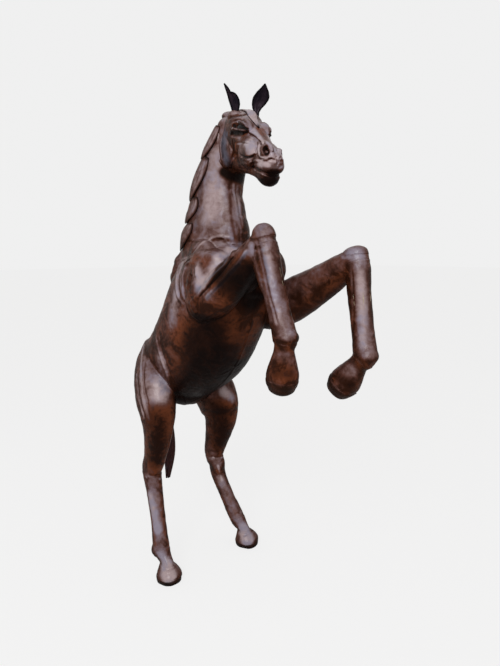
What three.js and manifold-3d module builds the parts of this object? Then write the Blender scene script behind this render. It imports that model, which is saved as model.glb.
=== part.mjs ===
// Rearing horse sculpture: pieces of hide glued over a carved wooden body and light papier-mache forms,
// with bent steel rods through the body, neck and legs. Millimetres. X points where the horse heads,
// Y to its left and Z up. It stands on the soles of its hind hooves.
import * as THREE from "three";
import { mergeVertices } from "three/addons/utils/BufferGeometryUtils.js";
import Module from "manifold-3d";

const wasm = await Module();
wasm.setup();

// Leather, clearance and steel
const HIDE = 3;
const GAP = 0.3;
const SOLE_THICK = 9;
const SOLE_EDGE = 1.5;
const SPINE_ROD_RADIUS = 9;
const HIND_ROD_RADIUS = 9;
const FORE_ROD_RADIUS = 4;
const EYE_RADIUS = 18;
const NOSTRIL_RADIUS = 10;
const LID_RADIUS = 20;
const LID_WELT = 4.5;
const EAR_LEATHER = 3.5;
const EAR_CUP = 15;
const LOCK_THICK = 5;
const LOCK_LENGTH = 1.15;
const LOCK_COUNT = 6;
const FORELOCK_HALF_WIDTH = 13;
const TAIL_HALF_WIDTH = 40;
const TAIL_HALF_DEPTH = 14;

// Smallest detail that a finished piece keeps
const FINEST = 0.05;

// Facets round a section
const LEG_SIDES = 7;
const TRUNK_SIDES = 14;
const HEAD_SIDES = 10;
const ROD_SIDES = 6;
const BALL_SIDES = 6;
const EYE_SIDES = 10;
const CORE_STEP = 2;
const LID_SIDES = 4;
const LID_STEPS = 10;

// Exponent of the oval sections: 2 is an ellipse, more is squarer
const SQUARE = 2.2;

// Joints of the figure
const PELVIS = [-254, 0, 790];
const CHEST = [270, 0, 1166];
const WITHERS = [62, 0, 1150];
const NECK_BASE = [98, 0, 1300];
const NECK_MIDDLE = [104, 8, 1455];
const POLL = [186, 36, 1697];
const DOCK = [-352, 0, 735];
const HEAD_YAW = -22;
const HEAD_PITCH = 20;
const HEAD_ROLL = -5;
const HOOF_FOOT = 15;
const HIND = {
  right: { hock: [-137, -150, 400], fetlock: [-50, -168, 122], toe: [2, -166, HOOF_FOOT], bow: 0 },
  left: { hock: [-140, 154, 385], fetlock: [-43, 200, 122], toe: [12, 217, HOOF_FOOT], bow: -24 },
};
const FORE = {
  right: {
    shoulder: [215, -95, 1215],
    elbow: [196, -120, 1082],
    knee: [457, -96, 1275],
    fetlock: [533, -82, 1010],
    toe: [515, -79, 866],
  },
  left: {
    shoulder: [215, 95, 1215],
    elbow: [235, 128, 1050],
    knee: [606, 134, 1228],
    fetlock: [655, 127, 948],
    toe: [568, 118, 838],
  },
};

const v3 = (p) => new THREE.Vector3(...p);
const mix = (a, b, t) => v3(a).lerp(v3(b), t).toArray();
const radians = (degrees) => (degrees * Math.PI) / 180;

// Smooth value at u along a list, passing through every entry.
function along(list, u) {
  const i = Math.min(Math.floor(u), list.length - 2);
  const t = u - i;
  const at = (k) => list[Math.max(0, Math.min(list.length - 1, k))];
  const [a, b, c, d] = [at(i - 1), at(i), at(i + 1), at(i + 2)];
  return b.map((_, k) => {
    const slopeIn = (c[k] - a[k]) / 2;
    const slopeOut = (d[k] - b[k]) / 2;
    const ease = t * t * (3 - 2 * t);
    return b[k] + (c[k] - b[k]) * ease + slopeIn * (t - 2 * t * t + t ** 3) + slopeOut * (t ** 3 - t * t);
  });
}

// A solid from a closed list of points and triangles, turned so that its faces point out.
function solid(positions, faces) {
  const build = () =>
    new wasm.Manifold(
      new wasm.Mesh({ numProp: 3, vertProperties: new Float32Array(positions), triVerts: new Uint32Array(faces) }),
    );
  const made = build();
  if (made.volume() > 0) return made;
  for (let i = 0; i < faces.length; i += 3) [faces[i], faces[i + 1]] = [faces[i + 1], faces[i]];
  return build();
}

// The oval section at u of a form: a point at `angle` from its side direction towards its front.
function section(stations, u, across) {
  const last = stations.length - 1;
  const centre = (at) => v3(along(stations, at).slice(0, 3));
  const tangent = centre(Math.min(u + 0.05, last)).sub(centre(Math.max(u - 0.05, 0))).normalize();
  const side = v3(across).addScaledVector(tangent, -v3(across).dot(tangent)).normalize();
  const front = new THREE.Vector3().crossVectors(tangent, side);
  const [, , , width, frontDepth, backDepth] = along(stations, u);
  const point = (angle, grow, shift = 0, shrink = 1) => {
    const [c, s] = [Math.cos(angle), Math.sin(angle)];
    const bulge = shrink * (Math.abs(c) ** SQUARE + Math.abs(s) ** SQUARE) ** (-1 / SQUARE);
    const depth = (s > 0 ? frontDepth : backDepth) + grow;
    const at = centre(u).addScaledVector(tangent, shift);
    return at.addScaledVector(side, c * bulge * (width + grow)).addScaledVector(front, s * bulge * depth);
  };
  const radius = Math.min(width, (frontDepth + backDepth) / 2);
  return { point, tangent, centre: centre(u), radius };
}

// A closed form with domed ends through stations [x, y, z, half width, half depth in front, half depth behind].
// `grow` moves its whole surface outwards, or inwards when negative. With `step` 2 it keeps every other point of a ring.
function form(stations, { sides: all = LEG_SIDES, step = 1, grow = 0, dome = 0.6, round = [0.75], across = [0, 1, 0] } = {}) {
  const last = stations.length - 1;
  const sides = all / step;
  const ring = (u, shift, shrink) => {
    const cut = section(stations, u, across);
    return Array.from({ length: sides }, (_, k) => cut.point(((k * step + 0.5) / all) * 2 * Math.PI, grow, shift, shrink));
  };
  const cap = (u, sign) => {
    const cut = section(stations, u, across);
    const reach = sign * (cut.radius * dome + grow);
    const rings = round.map((s) => ring(u, reach * s, Math.sqrt(1 - s * s)));
    return { rings, pole: cut.centre.clone().addScaledVector(cut.tangent, reach) };
  };
  const [start, end] = [cap(0, -1), cap(last, 1)];
  const rings = [...start.rings.reverse()];
  for (let i = 0; i <= last; i++) rings.push(ring(i, 0, 1));
  rings.push(...end.rings);
  const positions = [start.pole, ...rings.flat(), end.pole].flatMap((p) => p.toArray());
  const tip = rings.length * sides + 1;
  const id = (r, k) => 1 + r * sides + (k % sides);
  const faces = [];
  for (let k = 0; k < sides; k++) {
    faces.push(0, id(0, k + 1), id(0, k));
    for (let r = 0; r + 1 < rings.length; r++) {
      faces.push(id(r, k), id(r, k + 1), id(r + 1, k), id(r, k + 1), id(r + 1, k + 1), id(r + 1, k));
    }
    faces.push(tip, id(rings.length - 1, k), id(rings.length - 1, k + 1));
  }
  return solid(positions, faces);
}

// A cut piece of hide: a grid of points on its inner face and the same grid on its outer face, closed round the edge.
function patch(rows, columns, innerPoint, outerPoint) {
  const grid = (at) => {
    const points = [];
    for (let i = 0; i <= rows; i++) for (let k = 0; k <= columns; k++) points.push(at(i / rows, (2 * k) / columns - 1));
    return points;
  };
  const positions = [...grid(innerPoint), ...grid(outerPoint)].flatMap((p) => p.toArray());
  const wide = columns + 1;
  const half = (rows + 1) * wide;
  const faces = [];
  const quad = (a, b, c, d) => faces.push(a, b, c, a, c, d);
  for (let i = 0; i < rows; i++) {
    for (let k = 0; k < columns; k++) {
      const a = i * wide + k;
      quad(a, a + 1, a + wide + 1, a + wide);
      quad(half + a, half + a + wide, half + a + wide + 1, half + a + 1);
    }
    const [left, right] = [i * wide, i * wide + columns];
    quad(left + wide, half + left + wide, half + left, left);
    quad(right, half + right, half + right + wide, right + wide);
  }
  for (let k = 0; k < columns; k++) {
    const bottom = rows * wide + k;
    quad(k, half + k, half + k + 1, k + 1);
    quad(bottom + 1, half + bottom + 1, half + bottom, bottom);
  }
  return solid(positions, faces);
}

// A three.js geometry as a solid for joining and cutting.
function fromGeometry(geometry) {
  const bare = geometry.clone();
  bare.deleteAttribute("normal");
  bare.deleteAttribute("uv");
  const merged = mergeVertices(bare, 1e-3);
  const faces = merged.index ? [...merged.index.array] : [...Array(merged.attributes.position.count).keys()];
  return solid([...merged.attributes.position.array], faces);
}

const join = (all) => all.reduce((a, b) => a.add(b));
const cut = (from, tools) => tools.reduce((a, b) => a.subtract(b), from);

// Everything that lies beyond `from` in `direction`.
const BEYOND = 3000;
function beyond(from, direction) {
  const axis = v3(direction).normalize();
  const turn = new THREE.Quaternion().setFromUnitVectors(new THREE.Vector3(0, 0, 1), axis);
  const geometry = new THREE.BoxGeometry(2 * BEYOND, 2 * BEYOND, BEYOND).applyQuaternion(turn);
  return fromGeometry(geometry.translate(...v3(from).addScaledVector(axis, BEYOND / 2).toArray()));
}

// A round bar along a smooth path.
function rod(path, radius, steps) {
  const profile = new THREE.Shape();
  for (let k = 0; k < ROD_SIDES; k++) {
    const angle = (k / ROD_SIDES) * 2 * Math.PI;
    profile[k ? "lineTo" : "moveTo"](radius * Math.cos(angle), radius * Math.sin(angle));
  }
  const extrudePath = new THREE.CatmullRomCurve3(path.map(v3), false, "centripetal");
  return fromGeometry(new THREE.ExtrudeGeometry(profile, { steps, bevelEnabled: false, extrudePath }));
}

// The largest body of a cut piece: what a cut leaves loose beside it is offcut.
const whole = (made) => made.decompose().reduce((a, b) => (b.volume() > a.volume() ? b : a));

// Hide and core of a form. The hide laps onto the cores of the forms that carry it.
const hideOf = (outline, carriers) => cut(outline(0), [outline(-HIDE), ...carriers.map((c) => c(-HIDE))]);
const coreOf = (outline, carriers, step = 1) => cut(outline(-HIDE - GAP, step), carriers.map((c) => c(-HIDE)));

// Trunk. Stations run from the buttocks to the breast:
// [distance ahead of the pelvis, height of the middle, half width, half depth above, half depth below].
const trunkAxis = v3(CHEST).sub(v3(PELVIS)).normalize();
const trunkUp = new THREE.Vector3().crossVectors(trunkAxis, new THREE.Vector3(0, 1, 0));
const onTrunk = (ahead, up) =>
  v3(PELVIS).addScaledVector(trunkAxis, ahead).addScaledVector(trunkUp, up).toArray();
const TRUNK = [
  [-110, 0, 62, 52, 70],
  [-50, 6, 104, 84, 138],
  [60, 0, 136, 104, 178],
  [190, -12, 156, 122, 202],
  [320, -6, 166, 148, 208],
  [440, 10, 156, 200, 192],
  [550, 24, 142, 196, 162],
  [640, 30, 108, 116, 112],
];
const GROIN = { at: [-118, 0, 728], lengths: [120, 108, 74] };
const barrel = (grow, step) =>
  form(TRUNK.map(([ahead, up, ...size]) => [...onTrunk(ahead, up), ...size]), { sides: TRUNK_SIDES, step, grow });
function groin(grow) {
  const ball = new THREE.SphereGeometry(1, BALL_SIDES, BALL_SIDES).scale(...GROIN.lengths.map((length) => length + grow));
  return fromGeometry(ball.translate(...GROIN.at));
}
const trunk = (grow, step = 1) => barrel(grow, step).add(groin(grow));

// Neck, from inside the withers to the poll:
// [x, y, z, half width, half depth towards the crest, half depth towards the throat].
const NECK = [
  [...WITHERS, 104, 112, 140],
  [...NECK_BASE, 94, 132, 152],
  [...mix(NECK_BASE, NECK_MIDDLE, 0.5), 80, 118, 130],
  [...NECK_MIDDLE, 70, 104, 114],
  [...mix(NECK_MIDDLE, POLL, 0.4), 64, 90, 100],
  [...mix(NECK_MIDDLE, POLL, 0.8), 54, 62, 76],
];
const neck = (grow, step = 1) => form(NECK, { sides: HEAD_SIDES, step, grow, dome: 0.8 });

// Head, in its own frame: x along the face from the poll to the muzzle, y left, z towards the forehead.
const headTurn = new THREE.Quaternion().setFromEuler(
  new THREE.Euler(radians(HEAD_ROLL), radians(HEAD_PITCH), radians(HEAD_YAW), "ZYX"),
);
const headPlace = new THREE.Matrix4().compose(v3(POLL), headTurn, new THREE.Vector3(1, 1, 1));
const headWay = (x, y, z) => new THREE.Vector3(x, y, z).applyQuaternion(headTurn);
const onHead = (x, y, z) => new THREE.Vector3(x, y, z).applyMatrix4(headPlace);
const headForm = (rows, options) =>
  form(rows.map(([x, y, z, ...size]) => [...onHead(x, y, z).toArray(), ...size]), {
    sides: HEAD_SIDES,
    across: headWay(0, 1, 0).toArray(),
    ...options,
  });
function headBall(x, y, z, lengths, grow, sides = BALL_SIDES) {
  const ball = new THREE.SphereGeometry(1, sides, sides / 2).scale(...lengths.map((length) => length + grow));
  return fromGeometry(ball.translate(x, y, z).applyMatrix4(headPlace));
}
const SKULL = [
  [0, 0, -46, 44, 50, 50],
  [60, 0, -44, 55, 62, 66],
  [130, 0, -48, 54, 60, 66],
  [190, 0, -56, 45, 54, 60],
  [250, 0, -62, 38, 43, 50],
  [320, 0, -70, 31, 35, 42],
  [370, 0, -76, 34, 36, 38],
  [406, 0, -84, 31, 34, 30],
];
const JAW = [
  [110, 0, -128, 40, 34, 36],
  [220, 0, -120, 30, 26, 26],
  [310, 0, -118, 26, 22, 22],
  [362, 0, -120, 29, 22, 24],
];
const JOWL = [
  [10, 0, -96, 50, 44, 46],
  [46, 0, -102, 62, 66, 66],
  [92, 0, -102, 56, 64, 62],
  [140, 0, -96, 38, 40, 40],
];
const BROW = { x: 186, y: 28, z: -24, lengths: [48, 23, 28] };
const EYE = { x: 204, y: 35, z: -17 };
const NOSTRIL = { x: 388, y: 30, z: -54 };
const bothSides = (make) => [-1, 1].map(make);
const skull = (grow) =>
  join([
    headForm(SKULL, { grow }),
    headForm(JOWL, { grow, sides: LEG_SIDES, round: [0.75] }),
    ...bothSides((side) => headBall(BROW.x, side * BROW.y, BROW.z, BROW.lengths, grow)),
  ]);
const jaw = (grow) => headForm(JAW, { grow, sides: LEG_SIDES, dome: 0.8, round: [0.75] });
const eye = (side, grow) => headBall(EYE.x, side * EYE.y, EYE.z, [EYE_RADIUS, EYE_RADIUS, EYE_RADIUS], grow, EYE_SIDES);
const nostril = (side) =>
  headBall(NOSTRIL.x, side * NOSTRIL.y, NOSTRIL.z, [NOSTRIL_RADIUS, 1.3 * NOSTRIL_RADIUS, 0.8 * NOSTRIL_RADIUS], 0);
function eyelid(side) {
  const welt = new THREE.TorusGeometry(LID_RADIUS, LID_WELT, LID_SIDES, LID_STEPS).rotateX(Math.PI / 2).scale(1.1, 1.3, 0.85);
  welt.translate(EYE.x, side * (EYE.y + 9), EYE.z).applyMatrix4(headPlace);
  return whole(cut(fromGeometry(welt), [skull(GAP), eye(side, GAP)]));
}

// Legs. A row is [share of the bone, forward shift, half width, half depth in front, half depth behind].
const bone = (a, b, rows) =>
  rows.map(([t, forward, ...size]) => {
    const [x, y, z] = mix(a, b, t);
    return [x + forward, y, z, ...size];
  });
// Thigh and gaskin, down to the hock: [x, y, z, half width, half depth in front, half depth behind].
const THIGH = {
  right: [
    [-215, -66, 888, 48, 60, 60],
    [-192, -92, 825, 64, 92, 92],
    [-160, -116, 765, 70, 96, 92],
    [-118, -134, 708, 70, 92, 96],
    [-90, -144, 648, 62, 78, 80],
    [-98, -148, 525, 44, 53, 55],
    [-114, -149, 465, 38, 45, 48],
    [-132, -150, 420, 35, 42, 52],
  ],
  left: [
    [-225, 72, 870, 48, 60, 60],
    [-202, 98, 805, 64, 94, 100],
    [-168, 128, 738, 70, 106, 120],
    [-130, 152, 668, 70, 106, 128],
    [-116, 164, 604, 64, 98, 106],
    [-108, 165, 560, 57, 80, 80],
    [-134, 158, 440, 41, 50, 51],
    [-139, 155, 405, 36, 44, 52],
  ],
};
const HIND_SHANK = [
  [0.03, 0, 33, 36, 46],
  [0.34, 1, 29, 32, 33],
  [0.66, 0.8, 27, 30, 30],
];
const HIND_FOOT = [
  [0, 0, 29, 32, 39],
  [0.38, 14, 22, 25, 25],
  [0.54, 8, 33, 36, 34],
  [0.76, 2, 46, 49, 46],
  [0.93, 0, 47, 50, 47],
  [1.04, 0, 41, 43, 41],
];
const SHOULDER = [
  [-0.1, -6, 56, 80, 92],
  [0.6, 0, 61, 82, 90],
  [1.05, 0, 54, 62, 66],
];
const FOREARM = [
  [-0.04, 0, 56, 60, 58],
  [0.25, 0, 54, 62, 76],
  [0.6, 0, 45, 49, 62],
  [1, 0, 36, 37, 39],
];
const FORE_SHANK = [
  [-0.07, 0, 34, 36, 36],
  [0.12, 2, 36, 38, 36],
  [0.8, 0, 31, 33, 34],
];
const FORE_FOOT = [
  [0, 0, 33, 35, 39],
  [0.22, 0, 28, 29, 31],
  [0.45, 0, 36, 37, 36],
  [0.7, 0, 45, 48, 45],
  [0.92, 0, 45, 48, 45],
  [1.02, 0, 39, 42, 39],
];

const direction = (a, b) => v3(b).sub(v3(a)).normalize();
const rodFrom = (path, radius) => (grow) => rod(path, radius + grow, ROD_STEPS);
const hindLimb = (side) => {
  const { hock, fetlock, toe, bow } = HIND[side];
  const shank = bone(hock, fetlock, HIND_SHANK.map(([t, share, ...size]) => [t, share * bow, ...size]));
  const leg = [...THIGH[side], ...shank, ...bone(fetlock, toe, HIND_FOOT)];
  const armature = [...THIGH[side].slice(1), ...shank.slice(1)].map((row) => row.slice(0, 3));
  return {
    name: `${side}_hind`,
    outline: (grow) => form(leg, { grow }),
    bend: { at: hock, way: direction(THIGH[side].at(-2), fetlock) },
    ankle: { at: fetlock, way: direction(hock, toe) },
    ground: { at: toe, way: [0, 0, -1] },
    rod: rodFrom([...armature, fetlock], HIND_ROD_RADIUS),
    carriers: [trunk],
    filling: SOFTWOOD,
  };
};
const foreLimb = (side) => {
  const { shoulder, elbow, knee, fetlock, toe } = FORE[side];
  const rows = [
    bone(shoulder, elbow, SHOULDER),
    bone(elbow, knee, FOREARM),
    [...bone(knee, fetlock, FORE_SHANK), ...bone(fetlock, toe, FORE_FOOT)],
  ];
  const [intoKnee, outOfKnee] = [mix(elbow, knee, 0.9), mix(knee, fetlock, 0.1)];
  const armature = [mix(WITHERS, elbow, 0.5), elbow, mix(elbow, knee, 0.5), intoKnee, outOfKnee, mix(knee, fetlock, 0.5)];
  return {
    name: `${side}_fore`,
    outline: (grow) => join(rows.map((stations) => form(stations, { grow }))),
    bend: { at: knee, way: direction(elbow, knee).add(direction(knee, fetlock)).toArray() },
    ankle: { at: fetlock, way: direction(knee, fetlock) },
    ground: { at: toe, way: direction(fetlock, toe) },
    rod: rodFrom([...armature, fetlock], FORE_ROD_RADIUS),
    carriers: [trunk, neck],
    filling: PAPIER_MACHE,
  };
};

// Materials
const paint = (color, roughness, metalness = 0) => new THREE.MeshStandardMaterial({ color, roughness, metalness });
const BROWN_HIDE = paint(0x4a2318, 0.35);
const DARK_HIDE = paint(0x241a1c, 0.5);
const SOLE_LEATHER = paint(0x2a1712, 0.6);
const EYE_GLASS = paint(0x0c0a0a, 0.05);
const SOFTWOOD = paint(0xb58a5a, 0.7);
const PAPIER_MACHE = paint(0xb8a98c, 0.85);
const STEEL = paint(0x6f7276, 0.4, 0.9);

const limbs = [hindLimb("right"), hindLimb("left"), foreLimb("right"), foreLimb("left")];

// The finished pieces
const figure = new THREE.Group();
function piece(name, made, material) {
  const mesh = whole(made).simplify(FINEST).getMesh();
  const positions = [];
  for (let i = 0; i < mesh.numVert; i++) {
    positions.push(...mesh.vertProperties.subarray(i * mesh.numProp, i * mesh.numProp + 3));
  }
  const geometry = new THREE.BufferGeometry();
  geometry.setAttribute("position", new THREE.Float32BufferAttribute(positions, 3));
  geometry.setIndex([...mesh.triVerts]);
  const node = new THREE.Mesh(geometry, material);
  node.name = name;
  figure.add(node);
}

const back = (point, way, distance) => v3(point).addScaledVector(v3(way).normalize(), -distance).toArray();
const reverse = (way) => v3(way).negate().toArray();

// A panel seam: what lies on either side of a plane, half a gap away from it.
const sidesOf = (at, way) => [beyond(back(at, way, GAP / 2), reverse(way)), beyond(back(at, way, -GAP / 2), way)];

const ROD_STEPS = 7;
const SPINE_ON_TRUNK = [[40, 0], [190, 0], [320, 30]];
const SPINE_ON_NECK = [0.4, 0.72];
const SPINE_PATH = [
  ...SPINE_ON_TRUNK.map((at) => onTrunk(...at)),
  WITHERS,
  NECK_BASE,
  NECK_MIDDLE,
  ...SPINE_ON_NECK.map((share) => mix(NECK_MIDDLE, POLL, share)),
];
const spineRod = (grow) => rod(SPINE_PATH, SPINE_ROD_RADIUS + grow, ROD_STEPS);

// Body
const bodyHide = cut(hideOf(trunk, []), [neck(GAP), ...limbs.map((limb) => limb.outline(GAP))]);
const [rightOfBody, leftOfBody] = sidesOf(PELVIS, [0, 1, 0]);
piece("body_core", cut(coreOf(trunk, [], CORE_STEP), [spineRod(GAP), ...limbs.map((limb) => limb.rod(GAP))]), SOFTWOOD);
piece("body_hide_right", bodyHide.intersect(rightOfBody), BROWN_HIDE);
piece("body_hide_left", bodyHide.intersect(leftOfBody), BROWN_HIDE);
piece("spine_rod", spineRod(0), STEEL);

// Neck
const neckHide = cut(hideOf(neck, [trunk]), [skull(GAP), jaw(GAP), ...limbs.slice(2).map((limb) => limb.outline(GAP))]);
const neckSide = direction(NECK_BASE, POLL).cross(new THREE.Vector3(1, 0, 0));
const [rightOfNeck, leftOfNeck] = sidesOf(NECK_BASE, neckSide.toArray());
piece("neck_core", cut(coreOf(neck, [trunk], CORE_STEP), [spineRod(GAP)]), PAPIER_MACHE);
piece("neck_hide_right", neckHide.intersect(rightOfNeck), BROWN_HIDE);
piece("neck_hide_left", neckHide.intersect(leftOfNeck), BROWN_HIDE);

// Head
const eyeSockets = bothSides((side) => eye(side, GAP));
const nostrils = bothSides((side) => nostril(side));
piece("head_core", cut(coreOf(skull, [neck]), [...eyeSockets, ...nostrils, spineRod(GAP)]), PAPIER_MACHE);
piece("head_hide", cut(hideOf(skull, [neck]), [jaw(GAP), ...eyeSockets, ...nostrils]), BROWN_HIDE);
piece("jaw_core", coreOf(jaw, [skull, neck]), PAPIER_MACHE);
piece("jaw_hide", hideOf(jaw, [skull, neck]), BROWN_HIDE);
for (const [name, side] of [["right", -1], ["left", 1]]) {
  piece(`eye_${name}`, eye(side, 0), EYE_GLASS);
  piece(`eyelid_${name}`, eyelid(side), DARK_HIDE);
}

// Legs
for (const { name, outline, bend, ankle, ground, rod: armature, carriers, filling } of limbs) {
  const [hide, core] = [hideOf(outline, carriers), cut(coreOf(outline, carriers), [armature(GAP)])];
  const [aboveBend, belowBend] = sidesOf(bend.at, bend.way);
  const [aboveAnkle, belowAnkle] = sidesOf(ankle.at, ankle.way);
  const soleTop = back(ground.at, ground.way, SOLE_THICK);
  const aboveSole = beyond(back(soleTop, ground.way, GAP), reverse(ground.way));
  piece(`${name}_upper_core`, core.intersect(aboveBend), filling);
  piece(`${name}_lower_core`, core.intersect(belowBend).intersect(aboveSole), filling);
  piece(`${name}_rod`, armature(0), STEEL);
  piece(`${name}_upper_hide`, hide.intersect(aboveBend), BROWN_HIDE);
  piece(`${name}_shank_hide`, hide.intersect(belowBend).intersect(aboveAnkle), BROWN_HIDE);
  piece(`${name}_hoof_hide`, hide.intersect(belowBend).intersect(belowAnkle).intersect(aboveSole), BROWN_HIDE);
  const underside = cut(beyond(soleTop, ground.way), [beyond(ground.at, ground.way)]);
  piece(`${name}_sole`, outline(SOLE_EDGE).intersect(belowBend).intersect(underside), SOLE_LEATHER);
}

// Ears: leaves of stiff leather cupped round their long axis, glued to the top of the head.
const EAR_SPAN = 104;
const EAR_NOTCH = 0.6;
const EARS = [
  { name: "right", root: [64, -33, 10], tip: [-34, -19, 97], face: [0.9, -0.42, 0.12], halfWidth: 21, notch: 0.35 },
  { name: "left", root: [62, 38, 14], tip: [4, 29, 97], face: [0.86, -0.5, 0.1], halfWidth: 26, notch: 1 },
];
const earOutline = (t) => Math.max(0.06, Math.sin(Math.PI * Math.min(1, 0.16 + 0.84 * t)) ** 0.8 * (1.06 - 0.35 * t));
for (const { name, root, tip, face, halfWidth, notch } of EARS) {
  const axis = v3(tip).normalize();
  const ahead = v3(face).addScaledVector(axis, -v3(face).dot(axis)).normalize();
  const side = new THREE.Vector3().crossVectors(axis, ahead);
  const leaf = (depth) => (t, v) => {
    const width = halfWidth * earOutline(t) * (v > 0 && t > EAR_NOTCH ? notch : 1);
    const cup = EAR_CUP * earOutline(t) * (1 - v * v) + depth;
    const middle = onHead(...root).addScaledVector(axis, (t - 0.1) * EAR_SPAN);
    return middle.addScaledVector(side, v * width).addScaledVector(ahead, -cup);
  };
  piece(`ear_${name}`, cut(patch(7, 2, leaf(0), leaf(EAR_LEATHER)), [skull(GAP), neck(GAP)]), DARK_HIDE);
}

// Mane: pointed locks laid along the crest from the poll down, each lapping over the root of the next.
const LOCK_ANGLE = radians(106);
const LOCK_SPREAD = radians(24);
const LOCK_TOP = 4.9;
const LOCK_STEP = 0.7;
const rise = (t) => THREE.MathUtils.smoothstep(t, 0.4, 0.66) * (LOCK_THICK + GAP);
const lockWidth = (t) => Math.max(0.08, Math.min(1, 1.9 * (1 - t) ** 0.8));
const LOCK_DRIFT = radians(12);
function lock(n, grow) {
  const face = (depth) => (t, v) => {
    const u = Math.max(0.02, LOCK_TOP - LOCK_STEP * n - LOCK_LENGTH * t);
    const angle = LOCK_ANGLE + LOCK_SPREAD * v * lockWidth(t) + LOCK_DRIFT * t;
    return section(NECK, u, [0, 1, 0]).point(angle, GAP + rise(t) + depth);
  };
  return patch(5, 2, face(-grow), face(LOCK_THICK + grow));
}
for (let n = 0; n < LOCK_COUNT; n++) {
  const neighbours = n ? [lock(n - 1, GAP)] : [];
  piece(`mane_lock_${n + 1}`, cut(lock(n, 0), [skull(GAP), neck(GAP), trunk(GAP), ...neighbours]), DARK_HIDE);
}

// Forelock, from the poll down the forehead
const forelock = (depth) => (t, v) => {
  const width = FORELOCK_HALF_WIDTH * Math.max(0.1, Math.min(1, 1.6 * (1 - t) ** 0.7));
  return onHead(20 + 95 * t, v * width, 19 + depth - 4 * v * v - 4 * (2 * t - 1) ** 2);
};
piece("forelock", cut(patch(4, 2, forelock(0), forelock(LOCK_THICK)), [skull(GAP), neck(GAP)]), DARK_HIDE);

// Tail: a bundle of leather strips that hangs from the dock between the hind legs.
// A row is [behind, left of and below the dock, share of the half width, share of the half depth].
const TAIL = [
  [0, 0, 0, 0.55, 1.2],
  [-40, 4, -35, 0.7, 1.2],
  [-33, 12, -115, 0.95, 1.1],
  [12, 24, -235, 1, 1],
  [44, 32, -355, 0.8, 0.8],
  [56, 36, -465, 0.35, 0.5],
].map(([x, y, z, wide, deep]) => {
  const centre = v3(DOCK).add(v3([x, y, z])).toArray();
  return [...centre, wide * TAIL_HALF_WIDTH, deep * TAIL_HALF_DEPTH, deep * TAIL_HALF_DEPTH];
});
piece("tail", cut(form(TAIL), [trunk(GAP), ...limbs.map((limb) => limb.outline(GAP))]), DARK_HIDE);

// The origin lies on the floor, under the middle of the figure.
const box = new THREE.Box3().setFromObject(figure);
const middle = box.getCenter(new THREE.Vector3());
figure.position.set(-middle.x, -middle.y, -box.min.z);

export default figure;
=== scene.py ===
import math

import bmesh
import bpy
import numpy as np
from mathutils import Euler, Matrix, Quaternion, Vector, noise
from mathutils.bvhtree import BVHTree
from mathutils.kdtree import KDTree


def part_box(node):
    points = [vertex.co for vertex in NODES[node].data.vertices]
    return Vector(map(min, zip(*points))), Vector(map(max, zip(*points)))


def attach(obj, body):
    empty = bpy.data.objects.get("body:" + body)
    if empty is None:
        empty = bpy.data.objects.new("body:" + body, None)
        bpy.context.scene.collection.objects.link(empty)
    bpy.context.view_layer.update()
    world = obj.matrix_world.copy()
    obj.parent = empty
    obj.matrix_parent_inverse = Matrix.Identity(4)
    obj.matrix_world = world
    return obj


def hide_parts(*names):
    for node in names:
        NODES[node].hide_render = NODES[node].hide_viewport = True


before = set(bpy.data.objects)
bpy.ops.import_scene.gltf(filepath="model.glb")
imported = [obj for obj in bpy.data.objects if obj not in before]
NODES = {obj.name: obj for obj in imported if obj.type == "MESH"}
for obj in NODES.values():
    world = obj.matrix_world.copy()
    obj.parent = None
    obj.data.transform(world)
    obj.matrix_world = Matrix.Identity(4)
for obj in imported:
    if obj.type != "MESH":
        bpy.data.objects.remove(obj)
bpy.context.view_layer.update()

# Millimetres, in which the figure is laid out, to metres
MM = 0.001

# Joints of the figure. A shank bows forward by `bow`, a forearm is deeper on its under side by `under`, and a
# knee cap stands above its knee by `cap`.
PELVIS = (-254, 0, 790)
CHEST = (270, 0, 1166)
WITHERS = (62, 0, 1150)
NECK_BASE = (98, 0, 1300)
NECK_MIDDLE = (104, 8, 1455)
POLL = (186, 36, 1697)
HEAD_TURN = Euler([math.radians(a) for a in (-5, 20, -22)], "XYZ").to_quaternion()
HIND = {
    "right": dict(hock=(-137, -150, 400), fetlock=(-50, -168, 122), toe=(2, -166, 15), bow=0),
    "left": dict(hock=(-140, 154, 385), fetlock=(-43, 200, 122), toe=(12, 217, 15), bow=-24),
}
FORE = {
    "right": dict(
        shoulder=(215, -95, 1215), elbow=(196, -120, 1082), knee=(457, -96, 1275),
        fetlock=(533, -82, 1010), toe=(515, -79, 866), under=0, cap=21,
    ),
    "left": dict(
        shoulder=(215, 95, 1215), elbow=(235, 128, 1050), knee=(606, 134, 1228),
        fetlock=(655, 127, 948), toe=(568, 118, 838), under=9, cap=2,
    ),
}
EYE = (204, 35, -17)


def on_head(x, y, z):
    """A point in the head's own frame: x along the face, y left, z towards the forehead."""
    return Vector(POLL) + HEAD_TURN @ Vector((x, y, z))


def centre_of(node):
    low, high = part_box(node)
    return (low + high) / 2


# The figure's layout stands off the row frame by a shift, which its right eye shows
SHIFT = centre_of("eye_right") - on_head(EYE[0], -EYE[1], EYE[2]) * MM


def metres(point):
    return Vector(point) * MM + SHIFT


# The photograph's camera
IMAGE_WIDTH, IMAGE_HEIGHT = 500, 666
CAMERA_PLACE = (1535, -1066, 1249)
CAMERA_YAW, CAMERA_PITCH, CAMERA_ROLL = 139.59, -9.08, -0.2
FOCAL_PIXELS = 502.4
SENSOR, FAR_CLIP = 36, 50


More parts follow.
